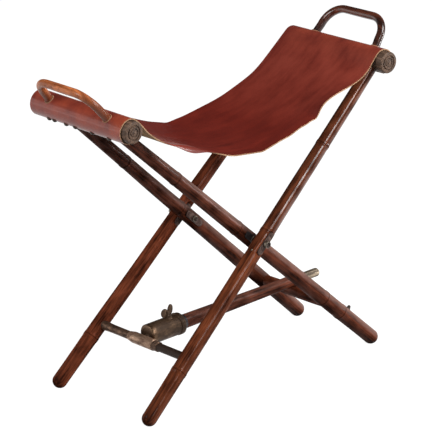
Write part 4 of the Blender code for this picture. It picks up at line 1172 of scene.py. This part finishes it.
SCREW_RADIUS = 0.0030
SCREW_HOLE = SCREW_RADIUS + FIT
BOSS_RADIUS = 0.0075
BOSS_FLARE = BOSS_RADIUS + 0.0012
BOSS_FOOT = SOCKET_BORE + 0.0006
OIL_HOLE_FROM_MOUTH = 0.0052
OIL_HOLE_TURN = math.radians(-42)
OIL_HOLE = [
    (0, -0.0002), (0.0017, -0.0002), (0.0021, 0.0004), (0.0026, 0.0009), (0.0034, 0.0006), (0.0040, -0.0004),
    (0.0040, -0.0014), (0, -0.0014),
]
END_RUB = 0.10
# The rim of the socket's end is brighter: partly wear, partly a painted highlight.
END_RIM_RUB_AND_HIGHLIGHT = 0.30
IRON_BROWN = (0.165, 0.093, 0.062)
IRON_BARE = (0.460, 0.300, 0.207)
BRONZE_BROWN = (0.060, 0.034, 0.020)
BRONZE_BARE = (0.135, 0.082, 0.050)


def along_brace(distance):
    """A placement on the brace's axis: local Z along the brace, local X up out of it."""
    along = Vector((math.cos(BRACE_TILT), 0, math.sin(BRACE_TILT)))
    out = Vector((-math.sin(BRACE_TILT), 0, math.cos(BRACE_TILT)))
    return axes_at(ROD_AXIS + along * distance + out * BRACE_RISE, along, out)


def end_rub_and_highlight(place):
    """The socket's flat end is worn bright, and its rim is brighter still: partly wear, partly a painted
    highlight.
    """
    if place.z >= SOCKET_RIM * 1.1:
        return 0
    at_rim = math.hypot(place.x, place.y) > SOCKET_RADIUS - SOCKET_RIM * 1.4
    return END_RIM_RUB_AND_HIGHLIGHT if at_rim else END_RUB


sleeve_outline = [
    (RING_BORE, SLEEVE_NEAR_END), (SLEEVE_RADIUS - SLEEVE_EDGE, SLEEVE_NEAR_END),
    (SLEEVE_RADIUS, SLEEVE_NEAR_END + SLEEVE_EDGE),
]
sleeve_outline += [
    (eased(SLEEVE_RADIUS, RING_BORE + SLEEVE_THIN_WALL, k / 8), SLEEVE_FAR_END - SLEEVE_TAPER * (1 - k / 8))
    for k in range(9)
]
sleeve_outline += [(RING_BORE, SLEEVE_FAR_END), (RING_BORE, SLEEVE_NEAR_END)]
old_iron = metal_finish("old_iron", IRON_BROWN, IRON_BARE, 0.0)
piece_of("rod_sleeve", "tube", turned(sleeve_outline, 44), on_rod, old_iron, "brace_swing")

socket_outline = [
    (0, SOCKET_FLOOR), (SOCKET_BORE, SOCKET_FLOOR), (SOCKET_BORE, SOCKET_LENGTH - MOUTH_EDGE),
    (SOCKET_BORE + MOUTH_EDGE, SOCKET_LENGTH),
]
socket_outline += rounded(COLLAR_RADIUS, SOCKET_LENGTH, COLLAR_ROUND, 6)
socket_outline += [
    (COLLAR_RADIUS, COLLAR_BACK), (COLLAR_RADIUS - 0.0004, COLLAR_BACK - 0.0006),
    (SOCKET_RADIUS - 0.0006, COLLAR_BACK - 0.0010), (SOCKET_RADIUS - 0.0006, COLLAR_BACK - 0.0022),
    (SOCKET_RADIUS, COLLAR_BACK - 0.0028),
]
socket_outline += [(SOCKET_RADIUS, SOCKET_RIM + SOCKET_BARREL * k / 5) for k in (5, 4, 3, 2, 1, 0)]
socket_outline += [
    (SOCKET_RADIUS - SOCKET_RIM * 0.4, SOCKET_RIM * 0.4), (SOCKET_RADIUS - SOCKET_RIM * 1.3, 0),
    (SOCKET_RADIUS - 0.0062, 0), (SOCKET_RADIUS - 0.0068, 0.0006), (0, 0.0006),
]
socket_shape = turned(socket_outline, 56)
paint(socket_shape, "rub", end_rub_and_highlight)
neck_end = -SOCKET_START + SLEEVE_RADIUS * 0.75
neck_outline = [
    (0, SOCKET_FLOOR / 2), (NECK_RADIUS * 1.25, 0.0010), (NECK_RADIUS, -0.0014), (NECK_RADIUS, neck_end),
    (0, neck_end),
]
add_to(socket_shape, turned(neck_outline, 32), Matrix.Translation((-BRACE_RISE, 0, 0)))
boss_outline = [
    (SCREW_HOLE, BOSS_FOOT), (SCREW_HOLE, SCREW_SEAT), (BOSS_RADIUS - 0.0009, SCREW_SEAT),
    (BOSS_RADIUS - 0.0002, SCREW_SEAT - 0.0004), (BOSS_RADIUS, SCREW_SEAT - 0.0012),
    (BOSS_FLARE, SOCKET_RADIUS - 0.0012), (BOSS_FLARE, BOSS_FOOT), (SCREW_HOLE, BOSS_FOOT),
]
out_of_brace = Matrix.Rotation(math.pi / 2, 4, "Y")
screw_spot = Matrix.Translation((0, 0, SCREW_AT - SOCKET_START)) @ out_of_brace
add_to(socket_shape, turned(boss_outline, 32), screw_spot)
oil_spot = Matrix.Translation((0, 0, SOCKET_LENGTH - OIL_HOLE_FROM_MOUTH))
oil_spot = oil_spot @ Matrix.Rotation(OIL_HOLE_TURN, 4, "Z")
oil_spot = oil_spot @ Matrix.Translation((COLLAR_RADIUS, 0, 0)) @ out_of_brace
add_to(socket_shape, turned(OIL_HOLE, 24), oil_spot)
old_bronze = metal_finish("old_bronze", BRONZE_BROWN, BRONZE_BARE, -0.04)
piece_of("brace_socket", "cast", socket_shape, along_brace(SOCKET_START), old_bronze, "brace_swing")

# Brace rod: a tapered rod of dark cane held in the socket, with a steel ferrule at the mouth. Its far
# end rests on the stretcher and carries a turned brass tip with paler and darker lengthwise lines.
BRACE_BUTT_RADIUS = 0.0127
BRACE_START = SOCKET_START + SOCKET_FLOOR + FIT
BRACE_MOUTH = SOCKET_START + SOCKET_LENGTH
BRACE_PAST_STRETCHER = 0.0196
BRACE_END = 2 * ROD_X * math.cos(BRACE_TILT) + BRACE_PAST_STRETCHER
BRACE_TAPER_END = BRACE_END - 0.086
BRACE_EDGE = 0.0012
BRACE_RINGS_FROM = BRACE_END - 0.002
BRACE_SHEEN = 0.05
BRACE_SHEEN_ABOVE = 0.16  # painted sheen: more on its upper side, and less below
FERRULE_END = BRACE_MOUTH + 0.0075
TIP_RADIUS = 0.0078
TIP_LENGTH = 0.0335
TIP_END = BRACE_END + TIP_LENGTH
TIP_ROUND = 0.0042
TIP_GROOVE = 0.0004
TIP_DARK_END = 0.0020
TIP_END_DARKENING = -0.30
TIP_LINES = 5
TIP_LINE_STRENGTH = 0.16
TIP_TENON = 0.0040
TIP_TENON_END = BRACE_END - 0.012
STEEL_BROWN = (0.034, 0.030, 0.031)
STEEL_BARE = (0.072, 0.067, 0.070)
BRASS_BROWN = (0.130, 0.098, 0.072)
BRASS_BARE = (0.450, 0.360, 0.265)

brace_outline = [
    (0, BRACE_END), (BRACE_END_RADIUS - BRACE_EDGE, BRACE_END), (BRACE_END_RADIUS, BRACE_END - BRACE_EDGE),
]
for step in range(33):
    place = BRACE_RINGS_FROM + (BRACE_START - BRACE_RINGS_FROM) * step / 32
    share = (BRACE_TAPER_END - place) / (BRACE_TAPER_END - BRACE_MOUTH)
    radius = BRACE_END_RADIUS + (BRACE_BUTT_RADIUS - BRACE_END_RADIUS) * min(max(share, 0), 1)
    brace_outline.append((radius, place))
brace_outline.append((0, BRACE_START))


def sheen_above(place):
    return min(max(BRACE_SHEEN + BRACE_SHEEN_ABOVE * place.x / BRACE_BUTT_RADIUS, 0), 1)


brace_shape = turned(brace_outline, 40)
# Painted sheen, strongest on the brace rod's upper side.
paint(brace_shape, "painted_sheen", sheen_above)
piece_of("brace_rod", "cane", brace_shape, along_brace(0), dark_cane, "brace_bar")

old_steel = metal_finish("old_steel", STEEL_BROWN, STEEL_BARE, 0.0)
ferrule_outline = [
    (0.0124, BRACE_MOUTH + 0.0004), (0.0129, BRACE_MOUTH + 0.0004), (0.0131, BRACE_MOUTH + 0.0010),
    (0.0131, FERRULE_END), (0.0128, FERRULE_END), (0.0122, FERRULE_END), (0.0124, BRACE_MOUTH + 0.0004),
]
piece_of(
    "brace_rod", "ferrule", turned(ferrule_outline, 44), along_brace(0), old_steel, "brace_bar",
    stands_for_node=False,
)

tip_outline = [(0, TIP_END)] + rounded(TIP_RADIUS, TIP_END, TIP_ROUND, 7)[1:]
tip_outline += [
    (TIP_RADIUS, BRACE_END + 0.0062), (TIP_RADIUS - TIP_GROOVE, BRACE_END + 0.0056),
    (TIP_RADIUS - TIP_GROOVE, BRACE_END + 0.0048), (TIP_RADIUS, BRACE_END + 0.0042), (TIP_RADIUS, BRACE_END),
    (TIP_TENON, BRACE_END), (TIP_TENON, TIP_TENON_END), (0, TIP_TENON_END),
]


# Paler and darker lines along the tip, and a darker rounded end.
def lengthwise_lines(place):
    if place.z > TIP_END - TIP_DARK_END:
        return TIP_END_DARKENING
    return TIP_LINE_STRENGTH * math.sin(TIP_LINES * math.atan2(place.y, place.x))


old_brass = metal_finish("old_brass", BRASS_BROWN, BRASS_BARE, 0.08)
tip_shape = turned(tip_outline, 40)
paint(tip_shape, "rub", lengthwise_lines)
piece_of("brace_tip", "brass", tip_shape, along_brace(0), old_brass, "brace_bar")

# Thumb screw: a cast bronze screw with two flat ears that turns in the socket's boss and clamps the
# brace rod.
SCREW_HEAD = [
    (0, 0.0112), (0.0024, 0.0106), (0.0040, 0.0090), (0.0045, 0.0070), (0.0043, 0.0050), (0.0046, 0.0036),
    (0.0062, 0.0020), (0.0065, 0.0012), (0.0063, FIT), (SCREW_RADIUS, FIT),
]
SCREW_END = BRACE_BUTT_RADIUS + FIT
EAR_SEAT = SCREW_SEAT + 0.0070
EAR_HALF_WIDTHS = {-1: 0.0078, 1: 0.0056}
EAR_HALF_HEIGHTS = {-1: 0.0080, 1: 0.0095}
EAR_RISES = {-1: -0.0002, 1: 0.0028}
EAR_LEANS = {-1: math.radians(24), 1: math.radians(12)}
EAR_THICKNESS = 0.0036
EAR_EDGE = 0.0012
EAR_REACH = 0.0068
EARS_TURN = math.radians(5)

screw_outline = [(radius, SCREW_SEAT + height) for radius, height in SCREW_HEAD]
screw_outline += [(SCREW_RADIUS, SCREW_END), (0, SCREW_END)]
screw_shape = turned(screw_outline, 36)
upright_ear = Matrix.Translation((0, EAR_THICKNESS / 2, 0)) @ Matrix.Rotation(math.pi / 2, 4, "X")
for side in (-1, 1):
    ear = bmesh.new()
    bmesh.ops.create_circle(ear, segments=36, radius=1, cap_ends=True)
    bmesh.ops.scale(ear, vec=(EAR_HALF_WIDTHS[side], EAR_HALF_HEIGHTS[side], 1), verts=ear.verts)
    raise_face(ear, EAR_THICKNESS)
    rims = [edge for edge in ear.edges if abs(edge.verts[0].co.z - edge.verts[1].co.z) < EAR_EDGE / 4]
    ease_edges(ear, rims, EAR_EDGE)
    lean = Matrix.Rotation(side * EAR_LEANS[side], 4, "Y")
    place = Matrix.Translation((side * EAR_REACH, 0, EAR_SEAT + EAR_RISES[side]))
    add_to(screw_shape, ear, Matrix.Rotation(EARS_TURN, 4, "Z") @ place @ lean @ upright_ear)
on_brace = along_brace(SCREW_AT)
piece_of(
    "thumb_screw", "winged", screw_shape,
    axes_at(on_brace.translation, on_brace.to_3x3() @ ALONG_X, on_brace.to_3x3() @ UP),
    old_bronze, "thumb_screw",
)

# Studio: a pale floor that fills the view and keeps a soft shadow, three soft boxes, a narrow strip, a
# large white card and a dim surround, at a level that renders colours about as they are written.
FLOOR_SIZE = 60.0
FLOOR_WHITE = 0.20
FLOOR_GLOW = 0.95
SURROUND = 0.04

floor_shape = bmesh.new()
bmesh.ops.create_grid(floor_shape, x_segments=1, y_segments=1, size=FLOOR_SIZE)
floor_mesh = bpy.data.meshes.new("studio_floor")
floor_shape.to_mesh(floor_mesh)
floor_shape.free()
floor = set_out("studio_floor", floor_mesh)
floor_paint, floor_tree, floor_shader = new_finish("floor_white")
feed(floor_tree, floor_shader, {
    "Base Color": (FLOOR_WHITE, FLOOR_WHITE, FLOOR_WHITE), "Roughness": 0.9, "Specular IOR Level": 0.0,
})
ray = put(floor_tree, "ShaderNodeLightPath").outputs
seen = worked(floor_tree, "MAXIMUM", ray["Is Camera Ray"], ray["Is Glossy Ray"])
seen = worked(floor_tree, "MAXIMUM", seen, ray["Is Transmission Ray"])
glow = put(floor_tree, "ShaderNodeEmission", {
    "Color": (1, 1, 1), "Strength": worked(floor_tree, "MULTIPLY", seen, FLOOR_GLOW),
})
both = put(floor_tree, "ShaderNodeAddShader", {0: floor_shader.outputs["BSDF"], 1: glow.outputs["Emission"]})
feed(floor_tree, floor_tree.nodes["Material Output"], {"Surface": both.outputs["Shader"]})
floor_mesh.materials.append(floor_paint)

surround = bpy.data.worlds.new("studio_surround")
surround.use_nodes = True
feed(surround.node_tree, surround.node_tree.nodes["Background"], {"Color": (1, 1, 1), "Strength": SURROUND})
bpy.context.scene.world = surround


def add_lamp(name, place, aim, size, watts):
    lamp = bpy.data.lights.new(name, "AREA")
    lamp.shape = "RECTANGLE"
    lamp.size, lamp.size_y = size
    lamp.energy = watts
    holder = set_out(name, lamp)
    holder.location = place
    holder.rotation_mode = "QUATERNION"
    holder.rotation_quaternion = (Vector(aim) - Vector(place)).to_track_quat("-Z", "Y")


add_lamp("soft_box_front", (-0.1, -2.55, 1.67), (0, 0, 0.35), (1.0, 1.0), 36)
add_lamp("soft_strip_right", (2.5, -1.75, 0.55), (0, 0, 0.3), (0.3, 0.9), 28)
add_lamp("soft_box_left", (-2.6, 0.5, 2.0), (0, 0, 0.45), (1.2, 1.2), 44)
add_lamp("soft_box_high", (1.7, -2.0, 2.8), (0, 0, 0.4), (1.6, 1.6), 94)
add_lamp("white_card", (-2.6, 3.0, 0.95), (0, 0, 0.5), (3.2, 1.9), 24)

# Camera: a long lens about six metres away, which looks at the stool from the photograph's side and height
# and is slightly rolled, as the photograph is.
CAMERA_PLACE = Vector((-3.63908, -4.23305, 2.18745))
AZIMUTH = math.radians(-40.637)
ELEVATION = math.radians(18.891)
ROLL = math.radians(-1.246)
LENS = 286.025

back = Vector((
    math.sin(AZIMUTH) * math.cos(ELEVATION), -math.cos(AZIMUTH) * math.cos(ELEVATION), math.sin(ELEVATION),
))
level = Vector((math.cos(AZIMUTH), math.sin(AZIMUTH), 0))
upright = back.cross(level)
sideways = math.cos(ROLL) * level + math.sin(ROLL) * upright
upwards = math.cos(ROLL) * upright - math.sin(ROLL) * level
camera_data = bpy.data.cameras.new("camera")
camera_data.sensor_width = 36
camera_data.lens = LENS
camera_data.clip_end = 100
camera = set_out("camera", camera_data)
camera.matrix_world = Matrix((sideways, upwards, back)).transposed().to_4x4()
camera.location = CAMERA_PLACE
bpy.context.scene.camera = camera
bpy.context.scene.view_settings.view_transform = "Standard"
